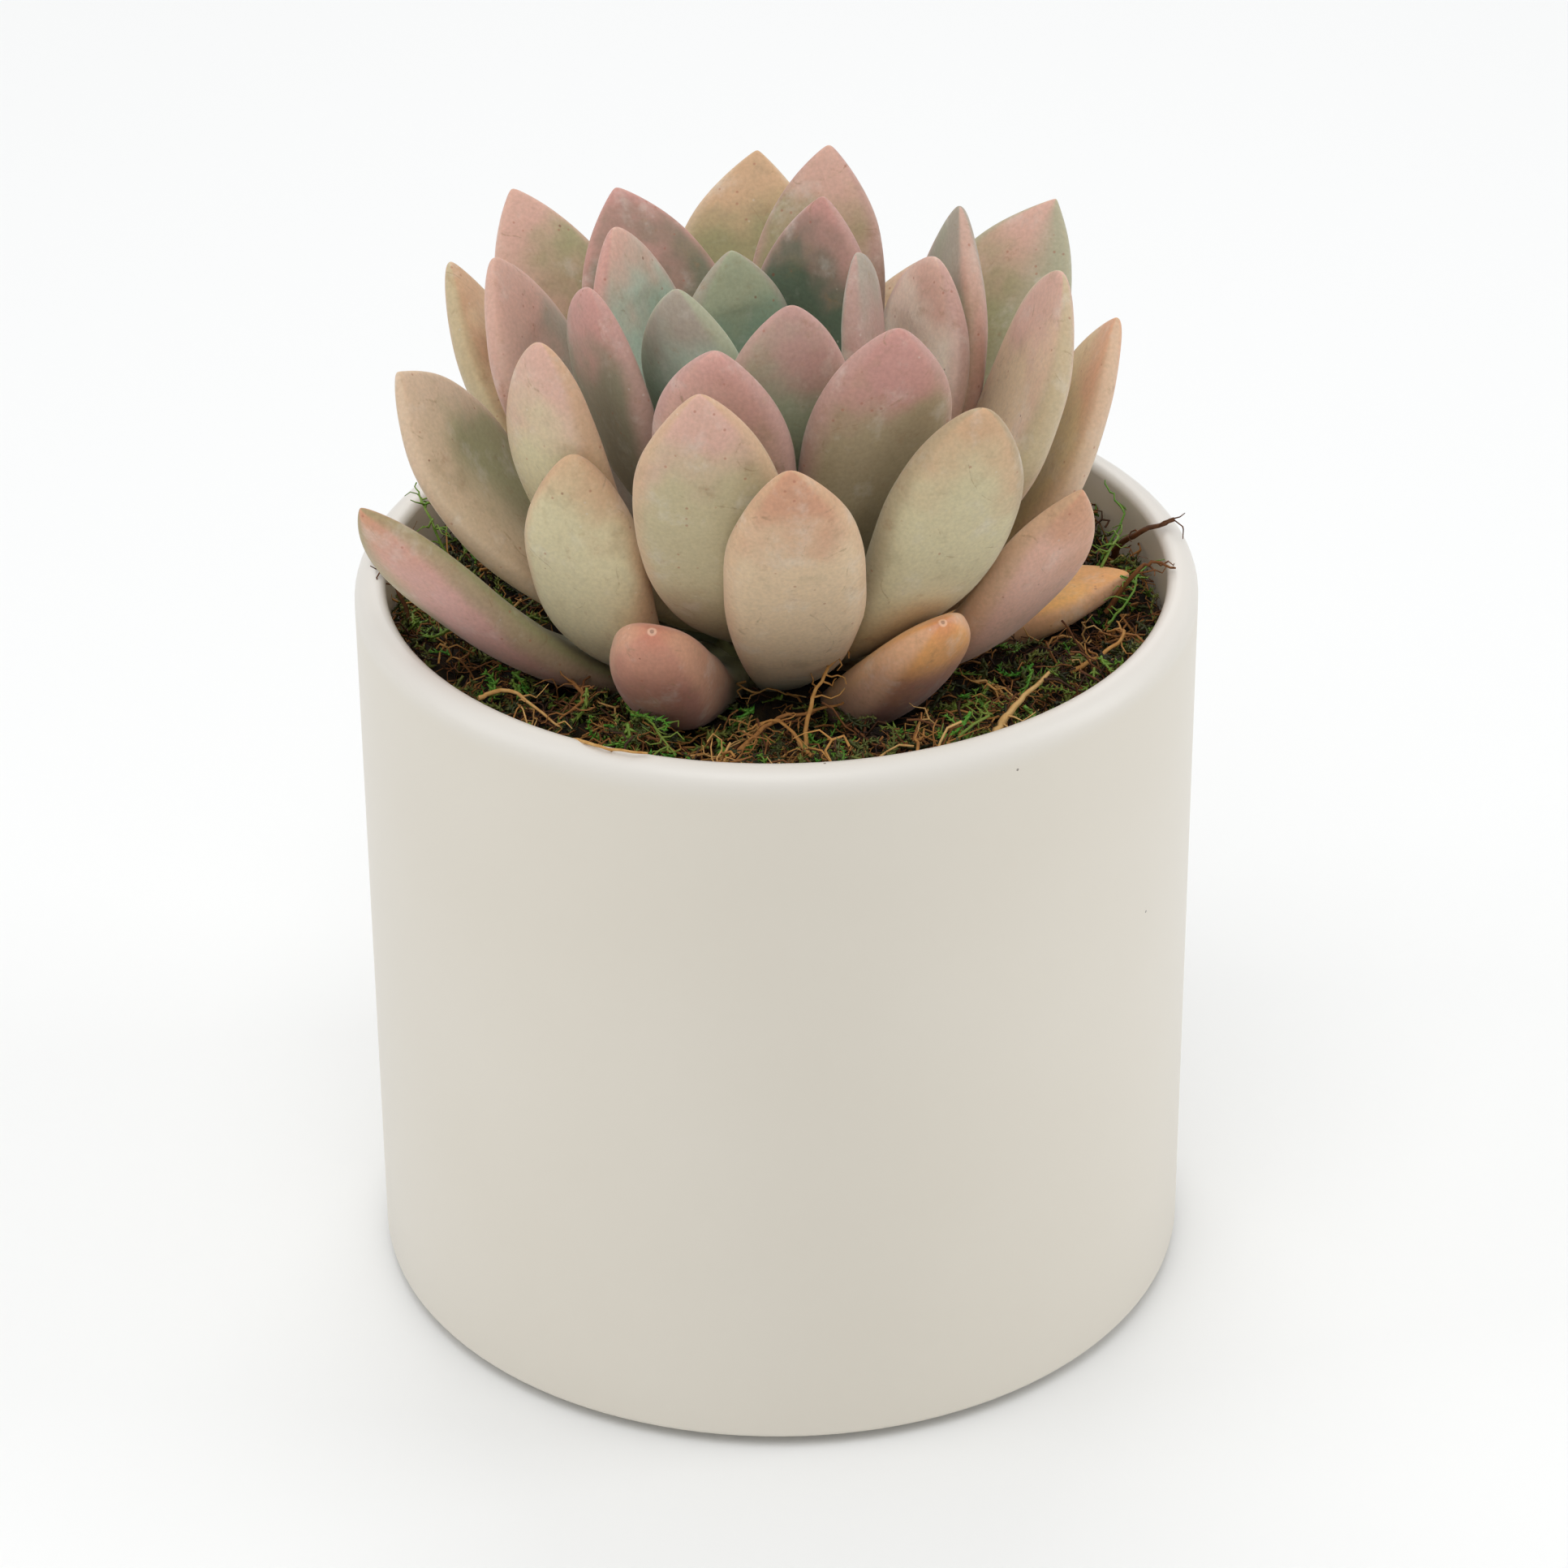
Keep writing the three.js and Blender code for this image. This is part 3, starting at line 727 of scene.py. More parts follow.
# %% Bloom, rubs and specks
BLOTCH_MM = 6.0
GRAIN_MM = 0.55
SPECK_MM = 2.6
FLECK_MM = 2.0
STAIN_MM = 3.2
SCUFF_SPAN_MM = 16.0
PIN_MM = 1.3
SPECK_HEX = "#7D4B38"
STAIN_HEX = "#9C7654"
PIN_HEX = "#A3604A"
SCUFF_HEX = "#8E7655"
BLOOM_HEX = "#E0DBD0"
RUBBED_HEX = "#8F7F5E"


def add_wear(tree, place):
    """Rubbed and dusty bloom, stains, and scuffs drawn as broken contour lines of a noise."""
    blotch = add_node(tree, "TexNoise", place, per_metre(BLOTCH_MM), 4.0, 0.62)
    rubbed = add_node(tree, "MapRange SMOOTHSTEP", blotch, 0.55, 0.75, 0.0, 0.3)
    dusted = add_node(tree, "MapRange SMOOTHSTEP", blotch, 0.47, 0.27, 0.0, 0.28)
    stain = add_node(tree, "TexNoise", place, per_metre(STAIN_MM), 5.0, 0.7)
    stained = add_node(tree, "MapRange SMOOTHSTEP", stain, 0.56, 0.76, 0.0, 0.38)
    drawn = add_node(tree, "TexNoise", place, per_metre(SCUFF_SPAN_MM), Detail=1.5)
    near = add_node(tree, "Math ABSOLUTE", add_node(tree, "Math SUBTRACT", drawn, 0.5))
    line = add_node(tree, "MapRange", near, 0.0045, 0.001, 0.0, 0.4)
    broken = add_node(tree, "MapRange", stain, 0.5, 0.6)
    scuffed = add_node(tree, "Math MULTIPLY", line, broken)
    return blotch, rubbed, dusted, stained, scuffed


def add_specks(tree, place, outer):
    """Brown specks, reddish pin pricks and pale flecks, each in its own grid of cells."""
    cells = add_node(tree, "TexVoronoi", place, per_metre(SPECK_MM))
    chance = add_node(tree, "SeparateColor", cells.outputs["Color"])
    size = add_node(tree, "Math MULTIPLY_ADD", chance.outputs[1], 0.1, 0.03)
    dots = add_node(tree, "MapRange", add_node(tree, "Math SUBTRACT", size, cells), 0.0, 0.05, 0.0, 0.7)
    odds = add_node(tree, "Math MULTIPLY_ADD", outer, 0.13, chance)
    specks = add_node(tree, "Math MULTIPLY", dots, add_node(tree, "Math GREATER_THAN", odds, 1.01))
    pins = add_node(tree, "TexVoronoi", place, per_metre(PIN_MM))
    luck = add_node(tree, "SeparateColor", pins.outputs["Color"])
    odds = add_node(tree, "Math MULTIPLY_ADD", outer, 0.22, luck)
    dots = add_node(tree, "MapRange", pins, 0.2, 0.1, 0.0, 0.5)
    pricked = add_node(tree, "Math MULTIPLY", dots, add_node(tree, "Math GREATER_THAN", odds, 1.07))
    flecks = add_node(tree, "TexVoronoi", place, per_metre(FLECK_MM))
    luck = add_node(tree, "SeparateColor", flecks.outputs["Color"]).outputs[1]
    dots = add_node(tree, "MapRange", flecks, 0.12, 0.05, 0.0, 0.25)
    flecked = add_node(tree, "Math MULTIPLY", dots, add_node(tree, "Math GREATER_THAN", luck, 0.85))
    return specks, pricked, flecked


def add_marks(tree, place, color, along, sideways):
    grain = add_node(tree, "TexNoise", place, per_metre(GRAIN_MM), Detail=3.0)
    tone = add_node(tree, "MapRange", grain, 0.3, 0.7, 0.92, 1.07)
    blotch, rubbed, dusted, stained, scuffed = add_wear(tree, place)
    specks, pricked, flecked = add_specks(tree, place, add_node(tree, "Math MAXIMUM", along, sideways))
    layers = [(rubbed, RUBBED_HEX), (dusted, BLOOM_HEX), (stained, STAIN_HEX), (scuffed, SCUFF_HEX),
              (pricked, PIN_HEX), (specks, SPECK_HEX), (flecked, BLOOM_HEX)]
    for amount, tint in layers:
        color = add_node(tree, "Mix RGBA", amount, color, linear(tint))
    color = add_node(tree, "Mix RGBA", 1.0, color, tone)
    color.blend_type = "MULTIPLY"
    return color, grain, blotch, rubbed


def make_leaf_skin(leaf):
    material, tree, shader = new_material("bloomed_skin_" + leaf["name"])
    place = add_node(tree, "TexCoord").outputs["Object"]
    color, along, sideways = leaf_colors(tree, place, leaf)
    if leaf["ring"] == "stub_leaf":
        color = add_dried_point(tree, place, color, leaf_spine(leaf)[-1])
    color, grain, blotch, rubbed = add_marks(tree, place, color, along, sideways)
    rough = add_node(tree, "MapRange", rubbed, 0.0, 0.3, 0.6, 0.42)
    fine = add_node(tree, "Bump", Height=grain, Strength=0.12, Distance=0.12 * MM)
    broad = add_node(tree, "Bump", Height=blotch, Normal=fine, Strength=0.25, Distance=0.5 * MM)
    fill_sockets(tree, shader, Base_Color=color, Roughness=rough, IOR=1.42, Specular_IOR_Level=0.35,
                 Subsurface_Weight=0.2, Subsurface_Radius=(1.0, 0.6, 0.35), Subsurface_Scale=2.0 * MM,
                 Sheen_Weight=0.14, Sheen_Roughness=0.55, Normal=broad)
    return material


# %% [markdown]
# The two stubs are plump bracts, each with a small dried point at its end: a pale corky ring round a
# dark pit. It is one to two millimetres across, so it is painted by the distance from the tip.

# %% The stubs' points, and a skin for every leaf
# radius in millimetres, the share of it in full colour, and the colour: a flush, a corky ring and a pit
DRIED_POINT = [(4.0, 0.0, "#BE7058"), (0.75, 0.7, "#EBCDB2"), (0.35, 0.7, "#5E3A30")]
POINT_STRENGTH = 0.5


def add_dried_point(tree, place, color, tip):
    gap = add_node(tree, "VectorMath DISTANCE", place, tuple(tip))
    for size_mm, full_share, tint in DRIED_POINT:
        amount = add_node(tree, "MapRange SMOOTHSTEP", gap, size_mm * MM, size_mm * full_share * MM,
                          0.0, POINT_STRENGTH)
        color = add_node(tree, "Mix RGBA", amount, color, linear(tint))
    return color


for leaf, obj in zip(leaves, leaf_objects):
    finish_piece(obj, "skin_" + leaf["name"], make_leaf_skin(leaf), [leaf["name"]])
bpy.data.objects.remove(unit_leaf)

# %% [markdown]
# ## The stem and the soil
# The stem is a stout green-brown dome that the leaves grow round, on a straight foot in the potting mix.
# Little of it shows. A cylinder is added for the foot, and its top face is extruded and drawn in, ring by
# ring, to the dome. The soil lies under the moss, so its frame node only gets a proper crumbly finish.

# %% Stem and soil
STEM_SIDES = 48
STEM_DOME_RINGS = 10
STEM_HEX = "#8A8A5C"
STEM_SCAR_HEX = "#5C4A34"
STEM_SCAR_MM = 2.6
SOIL_HEX = "#2B1D13"
SOIL_CRUMB_HEX = "#4A3524"
SOIL_CRUMB_MM = 1.4


def make_two_tone(name, first_hex, second_hex, size_mm, roughness, relief_mm):
    material, tree, shader = new_material(name)
    place = add_node(tree, "TexCoord").outputs["Object"]
    mottle = add_node(tree, "TexNoise", place, per_metre(size_mm), Detail=4.0)
    stops = [(0.4, linear(first_hex)), (0.62, linear(second_hex))]
    color = set_ramp(add_node(tree, "ValToRGB", mottle), stops)
    bump = add_node(tree, "Bump", Height=mottle, Strength=0.6, Distance=relief_mm * MM)
    fill_sockets(tree, shader, Base_Color=color, Roughness=roughness, Normal=bump)
    return material


def make_stem():
    widest = RIM_Z - STEM_WIDEST_BELOW_RIM
    depth = widest - STEM_LOW[2]
    bpy.ops.mesh.primitive_cylinder_add(vertices=STEM_SIDES, radius=STEM_RADIUS, depth=depth,
                                        location=(STEM_X, STEM_Y, STEM_LOW[2] + depth / 2))
    stem = bpy.context.object
    apply_place(stem)
    select_parts(stem, "FACE", lambda face: face.normal.z > UPWARDS)
    for ring in range(1, STEM_DOME_RINGS):
        before = radians(90 * (ring - 1) / STEM_DOME_RINGS)
        now = radians(90 * ring / STEM_DOME_RINGS)
        climb = STEM_DOME * (sin(now) - sin(before))
        bpy.ops.mesh.extrude_region_move(TRANSFORM_OT_translate={"value": (0, 0, climb)})
        share = cos(now) / cos(before)
        bpy.ops.transform.resize(value=(share, share, 1), center_override=(STEM_X, STEM_Y, widest))
    bpy.ops.mesh.poke(offset=STEM_DOME * (1 - sin(now)))
    leave_edit_mode()
    bpy.ops.object.shade_smooth_by_angle(angle=radians(50))
    bark = make_two_tone("scarred_green_stem", STEM_HEX, STEM_SCAR_HEX, STEM_SCAR_MM, 0.7, 0.5)
    return finish_piece(stem, "leaf_bearing_stem", bark, ["stem"])


stem = make_stem()
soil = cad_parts["soil"]
soil.data.materials.clear()
potting_mix = make_two_tone("crumbly_potting_mix", SOIL_HEX, SOIL_CRUMB_HEX, SOIL_CRUMB_MM, 0.95, 0.8)
soil.data.materials.append(potting_mix)

# %% [markdown]
# ## The bed of the moss
# Sheet moss comes as a dark mat of old stems with a little living green. The mat is a disc whose top is
# inset many times, so that it has enough rings to be raised to the height of the frame's moss. A broad
# noise heaps up patches, and two finer ones roughen them into clumps and crumbs.

# %% Model the bed
BED_SIDES = 144
BED_RINGS = 44
BED_CLEARANCE = 0.3 * MM
BED_RADIUS = POT_INSIDE - BED_CLEARANCE
MOSS_LEVEL = RIM_Z - 11 * MM
MOSS_RELIEF = 1.5 * MM
MOSS_HEAP_AT_FRONT = 4 * MM
CLUMP_MM = 4.0
CRUMB_MM = 1.3
PATCH_MM = 13.0
PATCH_RISE = 5 * MM
PATCH_SLICE = 0.3
BED_PATCH_SHARE = 0.7
BED_SINK = 1.2
MAT_HEXES = ("#150E08", "#33260F")
MAT_FIBRE_MM = 2.2


def moss_height(x, y):
    """The frame's own moss: crossed waves, and a heap towards the front wall."""
    x_mm = x / MM
    y_mm = y / MM
    lumps = sin(0.33 * x_mm + 1) * cos(0.29 * y_mm - 0.4) + 0.5 * sin(0.75 * x_mm - 0.5 * y_mm)
    share = min(max((hypot(x, y) / BED_RADIUS - 0.6) / 0.4, 0), 1)
    outwards = share * share * (3 - 2 * share)
    return MOSS_LEVEL + MOSS_RELIEF * lumps + MOSS_HEAP_AT_FRONT * outwards * max(-y / BED_RADIUS, 0)


def patch_noise(x, y):
    return noise.noise(Vector((x, y, PATCH_SLICE)) * per_metre(PATCH_MM))


def patch_rise(x, y):
    return max(patch_noise(x, y), 0) * PATCH_RISE


def make_moss_bed():
    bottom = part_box("moss")[0][2]
    depth = MOSS_LEVEL - bottom
    bpy.ops.mesh.primitive_cylinder_add(vertices=BED_SIDES, radius=BED_RADIUS, depth=depth,
                                        location=(0, 0, bottom + depth / 2))
    bed = bpy.context.object
    apply_place(bed)
    select_parts(bed, "FACE", lambda face: face.normal.z > UPWARDS)
    for ring in range(BED_RINGS):
        bpy.ops.mesh.inset(thickness=BED_RADIUS / (BED_RINGS + 1))
    bpy.ops.mesh.poke()
    leave_edit_mode()
    for vertex in bed.data.vertices:
        x, y, z = vertex.co
        if z < bottom + depth / 2:
            continue
        clump = noise.noise(Vector((x, y, 0)) * per_metre(CLUMP_MM)) * 0.9
        crumb = noise.noise(Vector((x, y, 0.1)) * per_metre(CRUMB_MM)) * 0.7
        raised = moss_height(x, y) + BED_PATCH_SHARE * patch_rise(x, y)
        vertex.co.z = raised + (clump + crumb - BED_SINK) * MM
    bpy.ops.object.shade_smooth()
    mat = make_two_tone("dark_moss_mat", *MAT_HEXES, MAT_FIBRE_MM, 0.95, 0.8)
    return finish_piece(bed, "moss_bed", mat, ["moss"])


moss_bed = make_moss_bed()

# %% [markdown]
# ## The strands and fronds of the moss
# Dried moss is a tangle of thin stems that fork and curl, and where it is still fresh it carries bright
# green fronds with leaflets like scales. A strand is a curve with a thin bevel that is turned into a
# mesh, and each fork is one more line in the same curve. The skin modifier could wrap the forks in one
# body, but it makes hundreds of faces, and only a few kinds are grown because each is used many times.

# %% Grow the kinds of strand
STRAND_MM = 0.44
STRAND_SEED = 11
FORK_LENGTH = 0.4
FORK_THICKNESS = 0.75
# length in millimetres, steps, curl, wander, lift and number of forks
STRAND_ROWS = [(15, 9, 0.10, 0.55, 0.6, 2), (12, 8, 0.45, 0.45, 0.7, 2), (18, 9, -0.15, 0.6, 0.5, 3),
               (10, 8, -0.7, 0.35, 0.6, 1), (14, 9, 0.2, 0.7, 0.8, 2)]


def curled_path(draw, length, steps, curl, wander, lift):
    """A walk that turns a little more at every step, centred on its own middle."""
    heading = 0.0
    place = Vector((0, 0, 0))
    points = [place]
    for step in range(steps):
        heading += draw.gauss(curl, wander)
        climb = draw.uniform(-lift, lift)
        way = Vector((cos(heading) * cos(climb), sin(heading) * cos(climb), sin(climb)))
        place = place + way * (length / steps * MM)
        points.append(place)
    middle = sum(points, Vector()) / len(points)
    return [point - middle for point in points]


def grow_strand(name, branches, thickness_mm):
    """Each branch is its points and how thick it starts, as a share, and it thins out towards its end."""
    bpy.ops.curve.primitive_nurbs_path_add(location=(0, 0, 0))
    strand = bpy.context.object
    strand.name = name
    curve = strand.data
    curve.splines.clear()
    for points, thick in branches:
        spline = curve.splines.new("POLY")
        spline.points.add(len(points) - 1)
        for step, (knot, point) in enumerate(zip(spline.points, points)):
            knot.co = (*point, 1)
            knot.radius = thick * (1 - 0.6 * step / (len(points) - 1))
    curve.dimensions = "3D"
    curve.bevel_depth = thickness_mm / 2 * MM
    curve.bevel_resolution = 0
    curve.use_fill_caps = True
    select_only(strand)
    bpy.ops.object.convert(target="MESH")
    bpy.ops.object.shade_smooth()
    return strand


def grow_brown_kinds():
    draw = Random(STRAND_SEED)
    kinds = []
    for length, steps, curl, wander, lift, forks in STRAND_ROWS:
        stem_points = curled_path(draw, length, steps, curl, wander, lift)
        branches = [(stem_points, 1.0)]
        for fork in range(forks):
            start = 2 + fork * 2
            branch = curled_path(draw, length * FORK_LENGTH, 3, draw.choice((-0.6, 0.6)), 0.3, 0.7)
            offset = stem_points[start] - branch[0]
            branches.append(([point + offset for point in branch], FORK_THICKNESS))
        kinds.append(grow_strand(f"strand_kind_{len(kinds)}", branches, STRAND_MM))
    return kinds


strand_kinds = grow_brown_kinds()
for kind in strand_kinds:
    print(kind.name, len(kind.data.polygons), "faces")

# %% [markdown]
# A frond is a thin stem with pairs of pointed leaflets. One leaflet is a flattened three-sided cone, and
# its copies stand along the stem, shorter towards the tip.

# %% Grow the kinds of frond
LEAFLET_MM = 1.2
FROND_STEM_MM = 0.45
FROND_STEPS = 5
# seed, length in millimetres, pairs of leaflets and curl
FROND_ROWS = [(1, 6, 7, 0.15), (2, 7, 8, -0.4), (3, 4, 5, 0.4)]


def grow_frond(name, seed, length, pairs, curl):
    draw = Random(seed)
    path = curled_path(draw, length, FROND_STEPS, curl, 0.15, 0.3)
    stem = grow_strand(name, [(path, 1.0)], FROND_STEM_MM)
    leaflets = []
    for pair in range(pairs):
        share = (pair + 0.6) / pairs
        step = min(int(share * FROND_STEPS), FROND_STEPS - 1)
        spot = path[step].lerp(path[step + 1], share * FROND_STEPS - step)
        forward = (path[step + 1] - path[step]).normalized()
        for side in (-1, 1):
            size = LEAFLET_MM * (1.15 - 0.6 * share) * draw.uniform(0.8, 1.2) * MM
            bpy.ops.mesh.primitive_cone_add(vertices=3, radius1=size * 0.3, radius2=0, depth=size,
                                            end_fill_type="NGON", location=(0, 0, size / 2))
            leaflet = bpy.context.object
            apply_place(leaflet)
            sideways = Vector((0, 0, 1)).cross(forward) * side
            way = (forward * 0.8 + sideways + Vector((0, 0, draw.uniform(0.0, 0.7)))).normalized()
            turn = way.to_track_quat("Z", "Y").to_matrix().to_4x4()
            leaflet.data.transform(Matrix.Translation(spot) @ turn @ Matrix.Diagonal((1, 0.5, 1, 1)))
            leaflets.append(leaflet)
    select_only(stem, *leaflets)
    bpy.ops.object.join()
    return stem


frond_kinds = [grow_frond(f"frond_kind_{row[0]}", *row) for row in FROND_ROWS]
for kind in frond_kinds:
    print(kind.name, len(kind.data.polygons), "faces")

# %% [markdown]
# ## The tangle
# The kinds are strewn over the bed by a seeded draw, each copy turned, tipped and scaled by itself, and
# then joined. The living fronds grow in clumps, so a broad noise decides where they may lie, and a copy
# that would pierce a low leaf is thrown away. What would stick through the pot's wall is pressed flat
# against it, as a hand tucks the moss in. Each copy keeps a tone of its own.

# %% Strew the moss
MOSS_INNER_SHARE = 0.2
MOSS_OUTER_SHARE = 0.985
WALL_GAP = 0.35 * MM
LEAF_SEARCH = 8 * MM
TEST_EVERY = 3


def press_in(obj):
    limit = POT_INSIDE - WALL_GAP
    for vertex in obj.data.vertices:
        out = hypot(vertex.co.x, vertex.co.y)
        if out > limit:
            vertex.co.x *= limit / out
            vertex.co.y *= limit / out


def set_tone(obj, tone):
    attribute = obj.data.attributes.new("tone", "FLOAT", "POINT")
    attribute.data.foreach_set("value", [tone] * len(obj.data.vertices))


def pick_place(draw, patchy):
    """A random place on the bed; a patchy kind is only let lie where the broad noise is high."""
    while True:
        out = BED_RADIUS * sqrt(draw.uniform(MOSS_INNER_SHARE ** 2, MOSS_OUTER_SHARE ** 2))
        turn = draw.uniform(0, tau)
        x, y = out * cos(turn), out * sin(turn)
        if patch_noise(x, y) > patchy * draw.uniform(-1.5, 0.6) - (1 - patchy):
            return x, y


def leaf_surface():
    """The low leaves' skins as one search tree, to keep the moss out of them."""
    corners, faces = [], []
    for leaf, obj in zip(leaves, leaf_objects):
        if leaf["ring"] in ("outer_leaf", "low_leaf", "stub_leaf"):
            first = len(corners)
            corners += [vertex.co.copy() for vertex in obj.data.vertices]
            faces += [[first + corner for corner in face.vertices] for face in obj.data.polygons]
    return BVHTree.FromPolygons(corners, faces)


def pierces_leaf(copy):
    for vertex in list(copy.data.vertices)[::TEST_EVERY]:
        spot, normal, face, gap = leaf_tree.find_nearest(vertex.co, LEAF_SEARCH)
        if spot is not None and (vertex.co - spot).dot(normal) < 0:
            return True
    return False


leaf_tree = leaf_surface()


def strew(kinds, count, seed, lift_mm, tip, sizes, tones, patchy=0.0):
    draw = Random(seed)
    copies = []
    while len(copies) < count:
        copy = kinds[len(copies) % len(kinds)].copy()
        copy.data = copy.data.copy()
        x, y = pick_place(draw, patchy)
        place = Vector((x, y, moss_height(x, y) + patch_rise(x, y) + draw.uniform(*lift_mm) * MM))
        spin = Matrix.Rotation(draw.uniform(0, tau), 4, "Z")
        lean = Matrix.Rotation(draw.gauss(0, tip), 4, "X") @ Matrix.Rotation(draw.gauss(0, tip), 4, "Y")
        copy.data.transform(Matrix.Translation(place) @ spin @ lean @ Matrix.Scale(draw.uniform(*sizes), 4))
        if pierces_leaf(copy):
            bpy.data.objects.remove(copy)
            continue
        set_tone(copy, draw.uniform(*tones))
        bpy.context.scene.collection.objects.link(copy)
        copies.append(copy)
    select_only(*copies)
    bpy.ops.object.join()
    tangle = bpy.context.object
    press_in(tangle)
    return tangle


brown_tangle = strew(strand_kinds, 1250, 21, (-1.0, 1.6), 0.4, (0.55, 1.0), (0.0, 0.72), 0.5)
golden_tangle = strew(strand_kinds, 170, 23, (0.6, 2.8), 0.5, (0.7, 1.2), (0.6, 1.0), 0.5)
green_tangle = strew(frond_kinds, 760, 22, (0.0, 2.8), 0.6, (0.8, 1.3), (0.0, 0.88), 1.0)
bright_tangle = strew(frond_kinds, 90, 24, (1.5, 3.6), 0.7, (0.9, 1.3), (0.85, 1.0), 0.6)

# %% [markdown]
# ## Twigs laid one by one
# A few twigs and long strands stand out: some lie on the rim, one stands up between two leaves, and the
# thick tan ones lie on top. Each is a smooth curve through a few points, in millimetres from the pot's
# centre and from its rim, that starts down in the moss. Short hairs grow from it, as it frays.

# %% Lay the twigs
TWIG_STEPS = 5
TWIG_SHAKE = 0.11 * MM
HAIR_MM = 0.35
# tone, thickness, number of hairs, and the points
BROWN_TWIGS = [
    (0.30, 1.3, 5, [(49.2, 16.5, -8), (49.9, 13.8, -4.4), (53, 9.4, -0.2), (57.3, 10.7, 1)]),
    (0.45, 0.9, 4, [(47, -1, -8), (51.1, -1.7, -1), (53.9, -2.2, 0.8), (56.5, -4.2, 0.8)]),
    (0.90, 0.9, 3, [(-41.2, -29.5, -5), (-37.3, -28.2, -4.4), (-33.8, -32.3, -4.5), (-29.7, -37.9, -5)]),
    (0.55, 0.8, 9, [(-29, -22.7, -6), (-26.5, -31.9, -3.6), (-29.7, -36.3, -4.5)]),
    (0.85, 0.8, 2, [(-31, -42, -8), (-27.5, -48.4, -1), (-23.6, -52.8, 0.7), (-17.1, -55, 0.7)]),
    (0.60, 0.9, 8, [(-5.8, -45.5, -5), (-0.8, -38.5, -4), (4.8, -35.5, -4), (9.3, -31.5, -5)]),
    (0.70, 0.7, 6, [(4.6, -45.7, -5), (0.3, -39, -3.6), (-4.2, -38.9, -5)]),
    (0.78, 0.8, 9, [(3.5, -41, -7), (5.0, -36, -1.5), (7.4, -31, 1), (9.8, -27.5, 2)]),
    (1.00, 1.4, 2, [(30, -40, -5), (31.3, -37.9, -3.6), (34, -32.7, -3.4), (37.6, -25.5, -4)]),
    (0.80, 0.9, 5, [(41, -20, -7), (46, -18, -5), (49, -12, -5), (47, -8, -7)]),
    (0.35, 0.8, 4, [(-52, -4, -7), (-54.4, -2.8, -0.6), (-56.1, -1.5, 0.6), (-58, 2.2, 0.6)]),
]
GREEN_TWIGS = [
    (0.90, 0.5, 1, [(46, 14, -9), (50.5, 18.4, -3), (49.5, 22.4, -1.8), (48, 25.2, 0)]),
    (0.80, 0.6, 12, [(-46, 12, -9), (-50, 14.3, 0), (-51.5, 17, 1.7), (-52.2, 18.6, 3.6)]),
    (0.72, 0.6, 12, [(-22, -36, -7), (-18.6, -38.2, -3), (-16, -43, -3), (-14, -47.1, -4)]),
    (0.70, 0.7, 9, [(22, -44, -6), (26, -42, -3.2), (29, -38, -3.4), (28, -33, -6)]),
    (0.86, 0.5, 9, [(47, -6, -7), (50.5, -3, -4), (51.5, 2.5, -3), (50, 6, -6)]),
    (0.80, 0.7, 9, [(44, 3, -8), (47.5, 7, -3), (49.5, 12, -2.4), (49, 16, -6)]),
]


def smooth_path(corners):
    """A smooth curve through the points."""
    corners = [Vector((x * MM, y * MM, RIM_Z + z * MM)) for x, y, z in corners]
    padded = [corners[0], *corners, corners[-1]]
    points = []
    for before, start, end, after in zip(padded, padded[1:], padded[2:], padded[3:]):
        for step in range(TWIG_STEPS):
            t = step / TWIG_STEPS
            pull = (end - before) * t + (before * 2 - start * 5 + end * 4 - after) * t ** 2
            points.append(start + (pull + (start * 3 - before - end * 3 + after) * t ** 3) / 2)
    return [*points, corners[-1]]


def lay_twigs(rows, seed):
    draw = Random(seed)
    twigs = []
    for tone, thick, hairs, corners in rows:
        path = [point + Vector([draw.gauss(0, TWIG_SHAKE) for axis in range(3)])
                for point in smooth_path(corners)]
        branches = [(path, thick / HAIR_MM)]
        for hair in range(hairs):
            start = draw.randrange(2, len(path) - 1)
            curl = curled_path(draw, draw.uniform(3, 6), 4, draw.choice((-0.5, 0.5)), 0.4, 0.8)
            turn = Matrix.Rotation(draw.uniform(0, tau), 3, "Z")
            branches.append(([path[start] + turn @ (point - curl[0]) for point in curl], 1.0))
        twig = grow_strand(f"twig_{seed}_{len(twigs)}", branches, HAIR_MM)
        set_tone(twig, tone)
        twigs.append(twig)
    return twigs


brown_twigs = lay_twigs(BROWN_TWIGS, 31)
green_twigs = lay_twigs(GREEN_TWIGS, 32)
print("twigs:", len(brown_twigs) + len(green_twigs))

# %% [markdown]
# ## The moss's colours
# Dead moss is dull brown to straw, as dry fibre that scatters light and has no gloss, and living moss is
# olive to a clear green. A ramp over each copy's own tone, moved a little by a fine noise, gives both.

# %% Colour and finish the moss
FIBRE_MOTTLE_MM = 1.1
FIBRE_DRIFT = 0.4
BROWN_HEXES = ["#20120A", "#42260F", "#70431F", "#956430", "#BA8745", "#D4AC6E"]
GREEN_HEXES = ["#23270D", "#3B4216", "#565E24", "#777F35", "#6F9030", "#4B9428"]


def make_moss_fibre(name, hexes, roughness):
    material, tree, shader = new_material(name)
    place = add_node(tree, "TexCoord").outputs["Object"]
    tone = add_node(tree, "Attribute tone").outputs["Fac"]
    mottle = add_node(tree, "TexNoise", place, per_metre(FIBRE_MOTTLE_MM), Detail=3.0)
    drift = add_node(tree, "Math MULTIPLY_ADD", mottle, FIBRE_DRIFT, -FIBRE_DRIFT / 2)
    moved = add_node(tree, "Math ADD", tone, drift)
    stops = [(k / (len(hexes) - 1), linear(tint)) for k, tint in enumerate(hexes)]
    color = set_ramp(add_node(tree, "ValToRGB", moved), stops, "LINEAR")
    bump = add_node(tree, "Bump", Height=mottle, Strength=0.5, Distance=0.2 * MM)
    fill_sockets(tree, shader, Base_Color=color, Roughness=roughness, Normal=bump)
    return material


